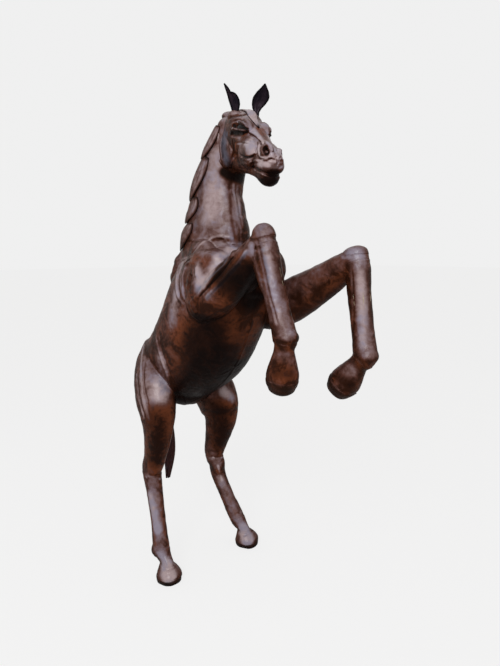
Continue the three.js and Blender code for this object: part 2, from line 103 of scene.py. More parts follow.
def look():
    """The camera's way ahead, to its right and up."""
    yaw, pitch, roll = (math.radians(a) for a in (CAMERA_YAW, CAMERA_PITCH, CAMERA_ROLL))
    ahead = Vector((math.cos(pitch) * math.cos(yaw), math.cos(pitch) * math.sin(yaw), math.sin(pitch)))
    right = ahead.cross(Vector((0, 0, 1))).normalized()
    up = right.cross(ahead)
    return ahead, right * math.cos(roll) + up * math.sin(roll), up * math.cos(roll) - right * math.sin(roll)


AHEAD, RIGHT, UP = look()


def sight(x, y):
    """The way from the camera through a pixel of the photograph."""
    across, up = (x - IMAGE_WIDTH / 2) / FOCAL_PIXELS, (IMAGE_HEIGHT / 2 - y) / FOCAL_PIXELS
    return AHEAD + RIGHT * across + UP * up


def new_object(name, data):
    made = bpy.data.objects.new(name, data)
    bpy.context.scene.collection.objects.link(made)
    return made


lens = bpy.data.cameras.new("camera")
lens.sensor_fit, lens.sensor_height, lens.clip_end = "VERTICAL", SENSOR, FAR_CLIP
lens.lens = FOCAL_PIXELS / IMAGE_HEIGHT * SENSOR
camera = new_object("camera", lens)
turn = Matrix((RIGHT, UP, -AHEAD)).transposed().to_4x4()
camera.matrix_world = Matrix.Translation(metres(CAMERA_PLACE)) @ turn
bpy.context.scene.camera = camera

# Lofted forms, a little squarer than round. A row is (x, y, z, half width, half depth in front, half depth
# behind). ROW_RINGS rings lead from row to row and DOME_RINGS round each end, to DOME_TIP degrees off its tip.
SQUARE = 2.2
ROW_RINGS, DOME_RINGS, DOME_TIP = 7, 5, 6


def along(rows, count):
    """Rows joined by a smooth curve, with `count` steps between two of them."""
    rows = np.array(rows, float)
    padded = np.vstack([rows[:1], rows, rows[-1:]])
    found = []
    for i in range(len(rows) - 1):
        a, b, c, d = padded[i:i + 4]
        for t in np.arange(count) / count:
            ease = t * t * (3 - 2 * t)
            bend = (c - a) / 2 * (t - 2 * t * t + t**3) + (d - b) / 2 * (t**3 - t * t)
            found.append(b + (c - b) * ease + bend)
    return np.array(found + [rows[-1]])


def unit(vectors):
    return vectors / np.linalg.norm(vectors, axis=-1, keepdims=True)


def loft(bm, rows, sides=28, across=(0, 1, 0), dome=0.6):
    """Adds a closed form with domed ends: a cylinder, subdivided and bent over the rows."""
    line = along(rows, ROW_RINGS)
    tangents = unit(np.gradient(line[:, :3], axis=0))
    side = unit(np.array(across) - (tangents @ np.array(across, float))[:, None] * tangents)
    front = np.cross(tangents, side)
    ends = []
    for k, sign in ((0, -1), (-1, 1)):
        reach = dome * min(line[k, 3], (line[k, 4] + line[k, 5]) / 2)
        for i in range(DOME_RINGS):
            tilt = math.radians(DOME_TIP + (90 - DOME_TIP) * i / DOME_RINGS)
            ends.append((k, sign * reach * math.cos(tilt), math.sin(tilt)))
    start, end = ends[:DOME_RINGS], ends[DOME_RINGS:][::-1]
    rings = start + [(k, 0, 1) for k in range(len(line))] + end
    tube = bmesh.new()
    bmesh.ops.create_cone(tube, cap_ends=True, segments=sides, radius1=1, radius2=1, depth=1)
    long = [e for e in tube.edges if abs(e.verts[0].co.z - e.verts[1].co.z) > 0.5]
    bmesh.ops.subdivide_edges(tube, edges=long, cuts=len(rings) - 2)
    for v in tube.verts:
        k, shift, share = rings[round((v.co.z + 0.5) * (len(rings) - 1))]
        c, s = v.co.x, v.co.y
        bulge = share * (abs(c)**SQUARE + abs(s)**SQUARE)**(-1 / SQUARE)
        depth = line[k, 4] if s > 0 else line[k, 5]
        middle = line[k, :3] + tangents[k] * shift
        v.co = metres(middle + side[k] * c * bulge * line[k, 3] + front[k] * s * bulge * depth)
    bmesh.ops.recalc_face_normals(tube, faces=tube.faces)
    append(bm, tube)


def meshed(bm, name):
    mesh = bpy.data.meshes.new(name)
    bm.to_mesh(mesh)
    bm.free()
    return mesh


def append(bm, part):
    """Adds a finished part to bm."""
    mesh = meshed(part, "part")
    bm.from_mesh(mesh)
    bpy.data.meshes.remove(mesh)


def ball(bm, centre, radii, turn=Quaternion()):
    """Adds an oval ball."""
    shape = Matrix.LocRotScale(metres(centre), turn, Vector(radii) * MM)
    part = bmesh.new()
    bmesh.ops.create_uvsphere(part, u_segments=32, v_segments=20, radius=1, matrix=shape)
    append(bm, part)


def bone(a, b, rows):
    """Rows (share of the bone, forward shift, half width, front, back) between two joints."""
    a, b = Vector(a), Vector(b)
    return [(*(a.lerp(b, t) + Vector((shift, 0, 0))), *size) for t, shift, *size in rows]


TRUNK_AXIS = (Vector(CHEST) - Vector(PELVIS)).normalized()
TRUNK_UP = TRUNK_AXIS.cross(Vector((0, 1, 0)))


def on_trunk(ahead, side, up):
    return Vector(PELVIS) + TRUNK_AXIS * ahead + Vector((0, side, 0)) + TRUNK_UP * up


# (distance ahead of the pelvis, height of the middle, half width, half depth above, half depth below)
TRUNK = [
    (-110, 0, 62, 52, 70), (-50, 6, 104, 84, 138), (60, 0, 136, 104, 178), (190, -12, 156, 122, 208),
    (320, -6, 168, 148, 220), (440, 10, 158, 200, 202), (550, 24, 142, 196, 162), (640, 30, 108, 116, 112),
]
TRUNK_ROWS = [(*on_trunk(ahead, 0, up), *size) for ahead, up, *size in TRUNK]
NECK = [
    (*WITHERS, 104, 112, 140),
    (*NECK_BASE, 94, 132, 146),
    (*Vector(NECK_BASE).lerp(Vector(NECK_MIDDLE), 0.5), 80, 118, 123),
    (*NECK_MIDDLE, 70, 104, 105),
    (*Vector(NECK_MIDDLE).lerp(Vector(POLL), 0.4), 64, 90, 79),
    (*Vector(NECK_MIDDLE).lerp(Vector(POLL), 0.8), 54, 62, 60),
]
SKULL = [
    (0, 0, -46, 44, 50, 50), (60, 0, -44, 55, 62, 66), (130, 0, -48, 54, 60, 66), (190, 0, -56, 45, 54, 60),
    (250, 0, -62, 36, 43, 50), (320, -1, -70, 29, 35, 42), (370, -3, -76, 30, 36, 38),
    (400, -5, -84, 27, 34, 30),
]
JOWL = [
    (10, 0, -96, 50, 44, 46), (46, 0, -102, 62, 66, 66), (92, 0, -102, 56, 64, 62), (140, 0, -96, 38, 40, 40),
]
JAW = [
    (110, 0, -128, 40, 34, 36), (220, 0, -120, 30, 26, 26), (310, 0, -118, 26, 22, 22),
    (362, 0, -120, 29, 22, 24),
]
# The bone round each eye: place of the left one, half sizes
EYE_BONE = ((186, 27, -25), (48, 22, 27))
THIGH = {
    "right": [
        (-215, -66, 888, 48, 60, 60), (-192, -92, 825, 64, 92, 92), (-160, -116, 765, 70, 96, 92),
        (-118, -134, 708, 70, 92, 96), (-90, -144, 648, 62, 78, 80), (-87, -147, 585, 51, 64, 66),
        (-98, -148, 525, 44, 53, 55), (-114, -149, 465, 38, 45, 48), (-132, -150, 420, 35, 42, 52),
    ],
    "left": [
        (-225, 72, 870, 48, 60, 60), (-202, 98, 805, 64, 94, 100), (-168, 128, 738, 70, 106, 120),
        (-130, 152, 668, 70, 113, 128), (-116, 164, 604, 64, 105, 106), (-108, 165, 560, 57, 80, 80),
        (-118, 162, 500, 49, 62, 62), (-134, 158, 440, 41, 50, 51), (-139, 155, 405, 36, 44, 52),
    ],
}
HIND_SHANK = [(0.03, 0, 33, 36, 46), (0.12, 0, 32, 35, 41), (0.34, 1, 29, 32, 33), (0.66, 0.8, 27, 30, 30)]
HIND_FOOT = [
    (0, 0, 29, 32, 39), (0.38, 14, 22, 25, 25), (0.54, 8, 33, 36, 34), (0.76, 2, 46, 49, 46),
    (0.93, 0, 47, 50, 47), (1.04, 0, 41, 43, 41),
]
SHOULDER = [(-0.1, -6, 56, 80, 92), (0.6, 0, 61, 82, 90), (1.05, 0, 54, 62, 66)]
FOREARM = [(-0.04, 0, 56, 60, 58), (0.25, 0, 54, 62, 76), (0.6, 0, 45, 49, 62), (1, 0, 36, 37, 39)]
FORE_SHANK = [(-0.07, 0, 34, 36, 36), (0.12, 2, 36, 38, 36), (0.35, 0, 33, 34, 35), (0.8, 0, 31, 33, 34)]
FORE_FOOT = [
    (0, 0, 33, 35, 39), (0.22, 0, 28, 29, 31), (0.45, 0, 36, 37, 36), (0.7, 0, 45, 48, 45),
    (0.92, 0, 45, 48, 45), (1.02, 0, 39, 42, 39),
]
HEAD_SIDE = tuple(HEAD_TURN @ Vector((0, 1, 0)))


def head_loft(bm, rows, **options):
    loft(bm, [(*on_head(*row[:3]), *row[3:]) for row in rows], across=HEAD_SIDE, **options)


def head_ball(bm, centre, radii):
    ball(bm, on_head(*centre), radii, HEAD_TURN)


def hind_leg(side):
    """Rows of the thigh, shank and hoof."""
    hock, fetlock, toe, bow = (HIND[side][k] for k in ("hock", "fetlock", "toe", "bow"))
    shank = [(t, share * bow, *size) for t, share, *size in HIND_SHANK]
    return THIGH[side], bone(hock, fetlock, shank), bone(fetlock, toe, HIND_FOOT)


def fore_leg(side, under=0):
    """Rows of the shoulder, forearm, shank and hoof, with the forearm deeper on its under side."""
    names = ("shoulder", "elbow", "knee", "fetlock", "toe")
    shoulder, elbow, knee, fetlock, toe = (FORE[side][name] for name in names)
    forearm = [(*row[:4], row[4] + (under if row[0] < 1 else 0)) for row in FOREARM]
    return (
        bone(shoulder, elbow, SHOULDER), bone(elbow, knee, forearm),
        bone(knee, fetlock, FORE_SHANK), bone(fetlock, toe, FORE_FOOT),
    )


def body_forms(bm):
    loft(bm, TRUNK_ROWS, sides=48)
    loft(bm, NECK, sides=40, dome=0.8)


def leg_forms(bm):
    for side in ("right", "left"):
        thigh, shank, foot = hind_leg(side)
        loft(bm, thigh + shank + foot)
        shoulder, forearm, shank, foot = fore_leg(side, FORE[side]["under"])
        for rows in (shoulder, forearm, shank + foot):
            loft(bm, rows)


def head_forms(bm):
    head_loft(bm, SKULL, sides=36)
    head_loft(bm, JOWL)
    head_loft(bm, JAW, dome=0.8)
    (x, y, z), radii = EYE_BONE
    for side in (-1, 1):
        head_ball(bm, (x, side * y, z), radii)


def mirrored(rows, side):
    """Rows of the left side, or their mirror image where side is -1."""
    return [(x, side * y, *rest) for x, y, *rest in rows]


# Muscles and bones that stand out under the hide. A single one has a place, or its shift off a joint, and half
# sizes. Where the two sides are alike, the left one is given.
WINDPIPE = [
    (212, 0, 1256, 34, 34, 34), (181, 2, 1320, 32, 32, 32), (158, 6, 1400, 29, 29, 29),
    (148, 11, 1480, 26, 26, 26), (151, 19, 1550, 25, 25, 25), (168, 26, 1600, 22, 22, 22),
]
NECK_ROOT = [(*on_trunk(500, 60, 176), 30, 50, 60), (150, 92, 1240, 34, 54, 60), (226, 106, 1196, 38, 48, 48)]
GROIN = ((-118, 0, 728), (120, 108, 74))
# The shoulder blade, and the muscle of the breast
CHEST_MUSCLES = [(140, 106, 1160, 84, 44, 88), (322, 50, 1196, 60, 48, 70)]
# The ridge of the withers, and the lumps of the hide along it: x, z and half size
WITHERS_RIDGE = [
    (0, 0, 1285, 40, 30, 30), (-44, -16, 1214, 54, 38, 40), (-66, -18, 1160, 58, 38, 42),
    (-82, -14, 1106, 54, 32, 40), (-98, -6, 1040, 40, 22, 30),
]
WITHERS_LUMPS, LUMP_SIDE, LUMP_HEIGHT = [(-50, 1211, 42), (-77, 1157, 43), (-90, 1108, 34)], -30, 0.95


def body_muscles(bm):
    ball(bm, *GROIN)
    loft(bm, WITHERS_RIDGE, sides=24)
    for x, z, size in WITHERS_LUMPS:
        ball(bm, (x, LUMP_SIDE, z), (size, size, LUMP_HEIGHT * size))
    for side in (-1, 1):
        loft(bm, mirrored(NECK_ROOT, side))
        for x, y, z, *radii in mirrored(CHEST_MUSCLES, side):
            ball(bm, (x, y, z), radii)
    loft(bm, WINDPIPE, sides=20)


HAMSTRING = [
    (-256, 74, 826, 40, 44, 44), (-236, 104, 742, 42, 44, 44), (-172, 132, 640, 38, 40, 40),
    (-146, 146, 560, 26, 26, 26),
]
CALF = [(-92, 168, 645, 22, 44, 44), (-96, 168, 560, 20, 36, 36), (-118, 160, 480, 14, 24, 24)]
HEEL_CORD = [
    (-142, 149, 560, 14, 13, 13), (-160, 150, 480, 13, 13, 13), (-176, 151, 425, 16, 16, 16),
    (-172, 152, 396, 15, 14, 14),
]
HOCK_KNOBS = [(4, 22, -4, 26, 14, 28), (4, -20, -6, 26, 14, 28)]
# Share of the bone, shift forward, share of the shank's bow, half width, front, back
HIND_TENDON = [
    (0.04, -38, 0, 12, 12, 14), (0.3, -28, 1, 10, 10, 12), (0.7, -22, 0.8, 10, 10, 12),
    (0.95, -28, 0, 13, 12, 15),
]
ELBOW_KNOB, KNEE_CAP, ANKLE_KNOB = (-28, 10, -14, 28, 28, 32), (36, 35, 36), (10, 0, 2, 30, 34, 26)
# On the hind fetlock that bends most
RIGHT_ANKLE = (-8, 6, -6, 33, 31, 31)
# Rows along a bone of the foreleg
FOREARM_MUSCLE = [(0.02, -6, 40, 46, 40), (0.3, 2, 40, 44, 40), (0.55, 4, 34, 36, 34)]
FORE_TENDON = [(0.12, -24, 14, 14, 14), (0.5, -21, 12, 12, 13), (0.95, -18, 17, 15, 20)]
RIGHT_SHANK = [(0.1, -9, 32, 32, 34), (0.27, -12, 34, 34, 38), (0.5, -6, 30, 30, 32)]


def knob(bm, joint, side, x, y, z, *radii):
    """A ball of bone beside a joint."""
    ball(bm, Vector(joint) + Vector((x, side * y, z)), radii)


def leg_muscles(bm):
    for name, side in (("right", -1), ("left", 1)):
        hind, fore = HIND[name], FORE[name]
        for rows in (HAMSTRING, CALF, HEEL_CORD):
            loft(bm, mirrored(rows, side), sides=20)
        for row in HOCK_KNOBS:
            knob(bm, hind["hock"], side, *row)
        tendon = [(t, shift + share * hind["bow"], *size) for t, shift, share, *size in HIND_TENDON]
        loft(bm, bone(hind["hock"], hind["fetlock"], tendon), sides=16)
        knob(bm, fore["elbow"], side, *ELBOW_KNOB)
        loft(bm, bone(fore["elbow"], fore["knee"], FOREARM_MUSCLE), sides=20)
        knob(bm, fore["knee"], side, 0, 0, fore["cap"], *KNEE_CAP)
        knob(bm, fore["fetlock"], side, *ANKLE_KNOB)
        if side < 0:
            loft(bm, bone(fore["knee"], fore["fetlock"], RIGHT_SHANK))
        loft(bm, bone(fore["knee"], fore["fetlock"], FORE_TENDON), sides=16)
    knob(bm, HIND["right"]["fetlock"], -1, *RIGHT_ANKLE)


# In the head's own frame: x, y on the right, y on the left, z, half sizes
HEAD_PAIRS = [
    (46, -39, 39, -106, 92, 22, 64), (254, -29, 29, -84, 74, 22, 40), (64, -32, 32, -4, 28, 20, 18),
    (362, -19, 13, -88, 54, 21, 27), (-4, -55, 55, -106, 46, 16, 56),
]
# Nostrils, chin, poll and forehead: x, y, z, half sizes
HEAD_LUMPS = [
    (382, -22, -54, 26, 17, 22), (376, 11, -62, 26, 15, 20), (378, -2, -119, 38, 30, 26),
    (-58, -4, -18, 38, 34, 20), (104, 6, -24, 74, 40, 46),
]


def head_muscles(bm):
    for side in (1, 2):
        for row in HEAD_PAIRS:
            head_ball(bm, (row[0], row[side], row[3]), row[4:])
    for x, y, z, *radii in HEAD_LUMPS:
        head_ball(bm, (x, y, z), radii)


def remeshed(name, builders, voxel):
    """One closed skin round all the forms that the builders add."""
    bm = bmesh.new()
    for build in builders:
        build(bm)
    work = new_object(name, meshed(bm, name))
    modifier = work.modifiers.new("skin", "REMESH")
    modifier.mode, modifier.voxel_size = "VOXEL", voxel
    bpy.context.view_layer.update()
    made = bpy.data.meshes.new_from_object(work.evaluated_get(bpy.context.evaluated_depsgraph_get()))
    bpy.data.objects.remove(work)
    return made


def read(items, field, kind=float, width=3):
    """A field of many items, as rows of numbers."""
    found = np.empty(len(items) * width, kind)
    items.foreach_get(field, found)
    return found.reshape(-1, width)


def places(mesh):
    return read(mesh.vertices, "co")


def set_places(mesh, found):
    mesh.vertices.foreach_set("co", found.ravel())
    mesh.update()


def normals(mesh):
    return read(mesh.vertex_normals, "vector")


def above_floor(at):
    at[:, 2] = np.maximum(at[:, 2], 0)
    return at


def relax(mesh, rounds):
    """Smooths a skin and keeps its girth: each vertex moves towards the middle of its neighbours, then back."""
    a, b = read(mesh.edges, "vertices", int, 2).T
    count = len(mesh.vertices)
    joined = np.bincount(a, minlength=count) + np.bincount(b, minlength=count)
    at = places(mesh)
    for step in range(2 * rounds):
        total = np.stack([
            np.bincount(a, at[b, k], count) + np.bincount(b, at[a, k], count) for k in range(3)
        ], axis=1)
        at += (BACK if step % 2 else FORTH) * (total / joined[:, None] - at)
    set_places(mesh, at)


# The skin before its folds are worked in. The steps of smoothing are shares of the way to the neighbours.
FORTH, BACK = 0.5, -0.515
BODY_VOXEL, HEAD_VOXEL = 0.0036, 0.002
BODY_ROUNDS, HEAD_ROUNDS = 26, 30
body_skin = remeshed("body", (body_forms, leg_forms, body_muscles, leg_muscles), BODY_VOXEL)
relax(body_skin, BODY_ROUNDS)
head_skin = remeshed("head", (head_forms, head_muscles), HEAD_VOXEL)
relax(head_skin, HEAD_ROUNDS)
set_places(body_skin, above_floor(places(body_skin)))
tree = {
    skin: BVHTree.FromPolygons([v.co for v in mesh.vertices], [tuple(p.vertices) for p in mesh.polygons])
    for skin, mesh in (("body", body_skin), ("head", head_skin))
}


def traced(spots, skin):
    """The places on a skin that the photograph shows at some pixels."""
    found = [tree[skin].ray_cast(metres(CAMERA_PLACE), sight(*spot).normalized())[0] for spot in spots]
    return [f for f in found if f is not None]


def in_head(point):
    """A place in the head's own frame, in millimetres."""
    return HEAD_TURN.inverted() @ ((point - metres(POLL)) / MM)


def out_of_head(point):
    return metres(on_head(*point))


def far_side(line, skin):
    """The same line on the other side of the figure, whose neck leans to the left."""
    found = []
    for point in line:
        if skin == "head":
            x, y, z = in_head(point)
            place = out_of_head((x, -y, z))
        else:
            _, across, up = zip(NECK_BASE, NECK_MIDDLE, POLL)
            middle = np.interp((point.z - SHIFT.z) / MM, up, across)
            place = Vector((point.x, 2 * (middle * MM + SHIFT.y) - point.y, point.z))
        found.append(tree[skin].find_nearest(place)[0])
    return found


# A tool's path has this many steps to its width, and the tool bites less towards its ends
TOOL_STEPS, TAPER, TAPER_END = 4, 6, 0.15


def worked(at, line, width, taper=True):
    """How strongly a tool drawn along a line touches each place: 1 on the line, 0 past its half width."""
    line = np.array(line, float)
    if len(line) > 1:
        steps = max(2, int(np.linalg.norm(np.diff(line, axis=0), axis=1).max() / (width * MM) * TOOL_STEPS))
        line = along(line, steps)
    low, high = line.min(axis=0) - width * MM, line.max(axis=0) + width * MM
    near = np.flatnonzero(((at > low) & (at < high)).all(axis=1))
    apart = np.linalg.norm(at[near, None, :] - line[None, :, :], axis=2)
    closest = apart.argmin(axis=1)
    force = np.clip(1 - (apart[np.arange(len(near)), closest] / (width * MM))**2, 0, 1)**2
    if taper and len(line) > 1:
        share = closest / (len(line) - 1)
        force *= np.clip(np.minimum(share, 1 - share) * TAPER + TAPER_END, 0, 1)
    found = np.zeros(len(at))
    found[near] = force
    return found


def worked_sides(at, line, width, skin, share, taper=True):
    """The same, with the share of it that the line's repeat on the far side has."""
    touched = worked(at, line, width, taper)
    if share:
        touched = np.maximum(touched, share * worked(at, far_side(line, skin), width, taper))
    return touched


# Lines through pixels of the photograph that are both folded and painted
SHOULDER_HOLLOW = [(190, 259.5), (184, 264), (180, 272), (178.6, 285), (180.5, 296)]
BREAST_ARC = [(194, 252), (201, 244), (211, 238.5), (222, 236.5), (232, 238.5)]
BREAST_CREASE = [(195, 255.5), (202, 247.5), (212, 242), (222, 240), (231, 242)]
FOREARM_CREASE = [(200, 296), (212, 283), (225, 268), (237, 252), (245, 244)]
FOREARM_WELT = [(206, 297), (222, 281), (236, 265), (246, 251)]
FOREARM_EDGE = [(207, 298), (223, 282), (237, 266), (247, 252)]
NOSTRIL_TOP = [
    (258.2, 150), (259.2, 146.2), (262.4, 143), (266.6, 143), (270.4, 146), (272.2, 150.4), (271.4, 155.2),
]
NOSTRIL_FOOT = [(258.2, 150), (259.4, 154.6), (262.8, 158), (267.4, 158.6), (271.4, 155.2)]
TEAR_LINE = [(246.5, 132), (250, 134.3), (254, 136.3), (257, 139), (260, 142.2), (261, 144.5)]
MOUTH = [(253, 166.8), (256, 168.3), (261, 170.8), (266, 173.2), (271, 175), (276, 174.8), (281, 173.5)]
JOWL_CREASE = [(232.5, 139.5), (233.3, 147), (233.3, 155), (232.5, 162), (231.5, 168)]
JOWL_WELT = [(220.5, 130), (218.6, 137), (217.6, 145), (218, 152), (220, 160), (224.5, 168)]
NOSE_BONE = [(249, 131), (254, 133.5), (259, 137.5)]
LIP_RIDGE = [(278.8, 150), (278.4, 158)]

# Folds, welts and hollows worked into the hide: half width and height in millimetres, and a line through
# pixels of the photograph. Those of the neck, trunk and head are repeated on the far side.
BODY_FOLDS = [
    (9, 3, [(190, 256.5), (182, 261), (177.5, 271), (176, 285), (178, 297), (184, 306)]),
    (5, -2.5, SHOULDER_HOLLOW),
    (9, 3.5, [(197, 263), (189, 263), (184.5, 269), (182.5, 279), (182.5, 290), (185, 299), (190, 304)]),
    (15, -6, [(191, 274), (188.5, 290)]), (10, 4, [(196, 267), (196.5, 277)]),
    (5, 2, [(234, 185), (236, 205), (240, 225), (244, 238)]), (5, 2, [(240, 190), (241, 210), (244, 230)]),
    (13, 5, [(155, 322), (156, 336), (160, 354), (167, 374), (178, 396)]),
    (9, -3, [(159, 330), (161, 348), (168, 368), (178, 388)]), (6, 3, [(232, 365), (238, 372), (245, 378)]),
]
LEG_FOLDS = [
    (8, 1.3, BREAST_ARC), (5, -0.9, BREAST_CREASE),
    (5, 1.2, [(200, 254), (208, 248), (218, 245), (228, 246.5)]),
    (4.5, -1.1, [(202, 257), (210, 251.5), (219, 249), (228, 251)]),
    (13, 5, [(191, 303), (204, 289), (218, 273), (232, 255), (243, 240)]), (5, -4, FOREARM_CREASE),
    (8, 2.5, FOREARM_WELT), (13, 5, [(192, 300), (193, 308), (197, 314)]),
    (6, -3, [(139, 350), (135.5, 375), (139, 400), (144, 415)]),
    (6, 3, [(142, 345), (139, 375), (142.5, 402), (147, 420)]),
    (6, -3, [(146, 346), (143.5, 375), (147, 400), (151, 422)]),
    (5, -2.5, [(177, 400), (172, 430), (167, 452), (163, 470)]),
    (5, -2, [(257, 238), (262, 262), (268, 290), (274, 312), (278, 327)]),
    (4, 1.4, [(260, 238), (265, 262), (271, 290), (277, 312), (281, 327)]),
    (5, -2, [(352, 268), (353, 300), (353, 330), (352, 352)]), (14, 4, [(289, 332), (297, 335)]),
]
# Brow, lids and eye socket, nostril, muzzle, mouth, cheek, crest, jowl and temple
HEAD_FOLDS = [
    (13, 3, [(229, 121.5), (236, 118.5), (243, 118.5), (249.5, 122.5)]),
    (5, -2, [(233, 122), (239.5, 120.3), (245.5, 122.5), (249.5, 127)]),
    (9, -9, [(235.5, 126), (240.3, 126.3), (245, 128)]),
    (6, 5, [(231.5, 126.8), (235, 123.6), (239.5, 122.6), (244, 124.8), (248.5, 129.5)]),
    (4.2, 3.4, [(232, 128.4), (236.5, 129.6), (241, 130.4), (246, 130.8), (249.5, 130)]),
    (13, -6, [(230.5, 133.3), (236, 134.5), (241, 133.8)]), (7, -3, [(243, 133.5), (247.5, 132.5)]),
    (13, -11, [(264.4, 149)]), (13, -11, [(265.4, 151.8)]), (7, 4.5, NOSTRIL_TOP), (7, 4.5, NOSTRIL_FOOT),
    (5, -2, [(257, 144.5), (256.4, 150), (257.8, 155.5)]), (10, 2, [(281.4, 151.5), (282.8, 157)]),
    (4, -2.2, [(277, 150), (276.4, 158)]), (4, -2.2, [(280.6, 151), (280, 159)]), (4, 1.6, LIP_RIDGE),
    (20, 4, [(262, 164), (270, 164), (277, 163.5)]),
    (5, -2, [(258, 158.8), (264, 159.2), (271, 159.6), (276, 160.6)]), (5, -4.5, MOUTH),
    (5, 3, [(253.5, 169.5), (258, 172.5), (263, 175), (267, 176.6)]),
    (4.5, -3, [(251, 166), (252.5, 163.5), (256, 163)]), (5, -5, [(253.6, 166.6), (254, 167)]),
    (5, 3, [(249.8, 167), (250.5, 162.8), (254.5, 161), (258.5, 161.5)]),
    (8, 3, [(238, 164.5), (244, 164), (249, 166)]), (4.5, -2, [(239, 168), (243, 168.8), (246, 170)]),
    (5, -3, [(250.5, 169.5), (252.5, 175.5)]), (4.5, -4.5, TEAR_LINE), (8, 2.2, NOSE_BONE),
    (5, -1.5, [(258, 124), (264, 133), (270, 141), (276, 147)]),
    (6, -4, [(239.5, 155), (246, 157.8), (252, 157), (255.5, 153.5)]),
    (6, -2.5, [(238, 146), (238.5, 152), (240, 155.5)]),
    (5, -1.5, [(234, 143.5), (240, 142.8), (247, 143.8), (252, 142.5)]),
    (5, -2.5, [(256.5, 140), (257, 147), (256, 153)]), (5, -3.5, JOWL_CREASE),
    (9, 1.5, [(229, 141), (230.5, 150), (231, 158)]),
    (10, -3, [(223, 142), (223.3, 150), (223.5, 158), (226, 165)]), (6.5, 4.5, JOWL_WELT),
    (5, -2.5, [(222.6, 133), (221, 141), (220.6, 150), (222, 159), (226, 167)]),
    (9, 3, [(228, 117.5), (234, 116), (240, 114.5)]),
]
# How much of a fold its repeat on the far side keeps
FAR_SHARE = {"body": 0.8, "head": 0.5}
# Hand-worked unevenness of the hide: size in metres, depth in millimetres on each skin, seed
DENTS = [(0.034, {"body": 1.1, "head": 0.5}, 3), (0.011, {"body": 0.35, "head": 0.35}, 9)]
FINER, FINER_SHARE = 2.3, 0.5

for mesh, skin, sets in (
    (body_skin, "body", ((BODY_FOLDS, FAR_SHARE["body"]), (LEG_FOLDS, 0))),
    (head_skin, "head", ((HEAD_FOLDS, FAR_SHARE["head"]),)),
):
    base, out = places(mesh), normals(mesh)
    at = base.copy()
    for folds, share in sets:
        for width, height, spots in folds:
            line = traced(spots, skin)
            if line:
                at += out * (worked_sides(base, line, width, skin, share) * height * MM)[:, None]
    for size, depth, seed in DENTS:
        spots = [Vector(place) / size + Vector((seed, 0, 0)) for place in at]
        rise = np.array([noise.noise(spot) + FINER_SHARE * noise.noise(spot * FINER) for spot in spots])
        at += out * (depth[skin] * MM * rise)[:, None]
    set_places(mesh, above_floor(at))


# Panels: every face belongs to the form whose middle line is nearest for its girth
GIRTH_RINGS = 5
# The sole begins at this share of the way from fetlock to toe, and below this height where the hoof stands
SOLE_START, SOLE_BAND = 0.86, 0.019
SEAM_ROUNDS = 30
# The lap of a seam, in millimetres: how far it reaches, and how high the upper edge and how deep the lower lies
LAP_REACH, LAP_RISE, LAP_SINK = 11, 1.6, 1.0
# The seam between trunk and neck lies in a plane: a point on it, and the way up the neck
BREAST, BREAST_WAY = (150, 0, 1284), (0.1, 0, 1)


def girth_line(rows):
    line = along(rows, GIRTH_RINGS)
    return np.array([metres(p) for p in line[:, :3]]), (line[:, 3] + line[:, 4] + line[:, 5]) / 3 * MM


forms = {"body_hide": girth_line(TRUNK_ROWS), "neck_hide": girth_line(NECK)}
for side in ("right", "left"):
    shoulder, forearm, *below = fore_leg(side)
    for end, upper, shank, foot in (("hind", *hind_leg(side)), ("fore", shoulder[:2] + forearm, *below)):
        for part, rows in (("upper", upper), ("shank", shank + foot[:1]), ("hoof", foot)):
            forms[f"{side}_{end}_{part}_hide"] = girth_line(rows)
hides = list(forms)


def nearest_form(middles):
    best, label = np.full(len(middles), np.inf), np.zeros(len(middles), int)
    for k, (line, girth) in enumerate(forms.values()):
        reach = np.full(len(middles), np.inf)
        for point, radius in zip(line, girth):
            reach = np.minimum(reach, np.linalg.norm(middles - point, axis=1) / radius)
        closer = reach < best
        best[closer], label[closer] = reach[closer], k
    return label


def split(mesh, labels):
    """Draws the seams between the labels of a skin smooth, and laps one panel's edge over the other's."""
    edges = {}
    for p in mesh.polygons:
        for key in p.edge_keys:
            edges.setdefault(key, []).append(labels[p.index])
    seam = {}
    for (a, b), beside in edges.items():
        if len(beside) == 2 and beside[0] != beside[1]:
            seam.setdefault(a, set()).add(b)
            seam.setdefault(b, set()).add(a)
    at = places(mesh)
    for _ in range(SEAM_ROUNDS):
        moved = {v: at[list(ends)].mean(axis=0) for v, ends in seam.items() if len(ends) == 2}
        for v, place in moved.items():
            at[v] = 0.5 * at[v] + 0.5 * place
    set_places(mesh, at)
    out = normals(mesh)
    top, inside = np.zeros(len(at), int), np.zeros(len(at), int)
    for p in mesh.polygons:
        for v in p.vertices:
            top[v], inside[v] = max(top[v], labels[p.index]), labels[p.index]
    finder = KDTree(len(seam))
    for v in seam:
        finder.insert(at[v], v)
    finder.balance()
    lift = np.zeros(len(at))
    for v, place in enumerate(at):
        _, nearest, reach = finder.find(place)
        share = 1 - reach / (LAP_REACH * MM)
        if share > 0:
            over = v in seam or inside[v] == top[nearest]
            lift[v] = LAP_RISE * share**2 if over else -LAP_SINK * share
    set_places(mesh, at + out * (lift * MM)[:, None])


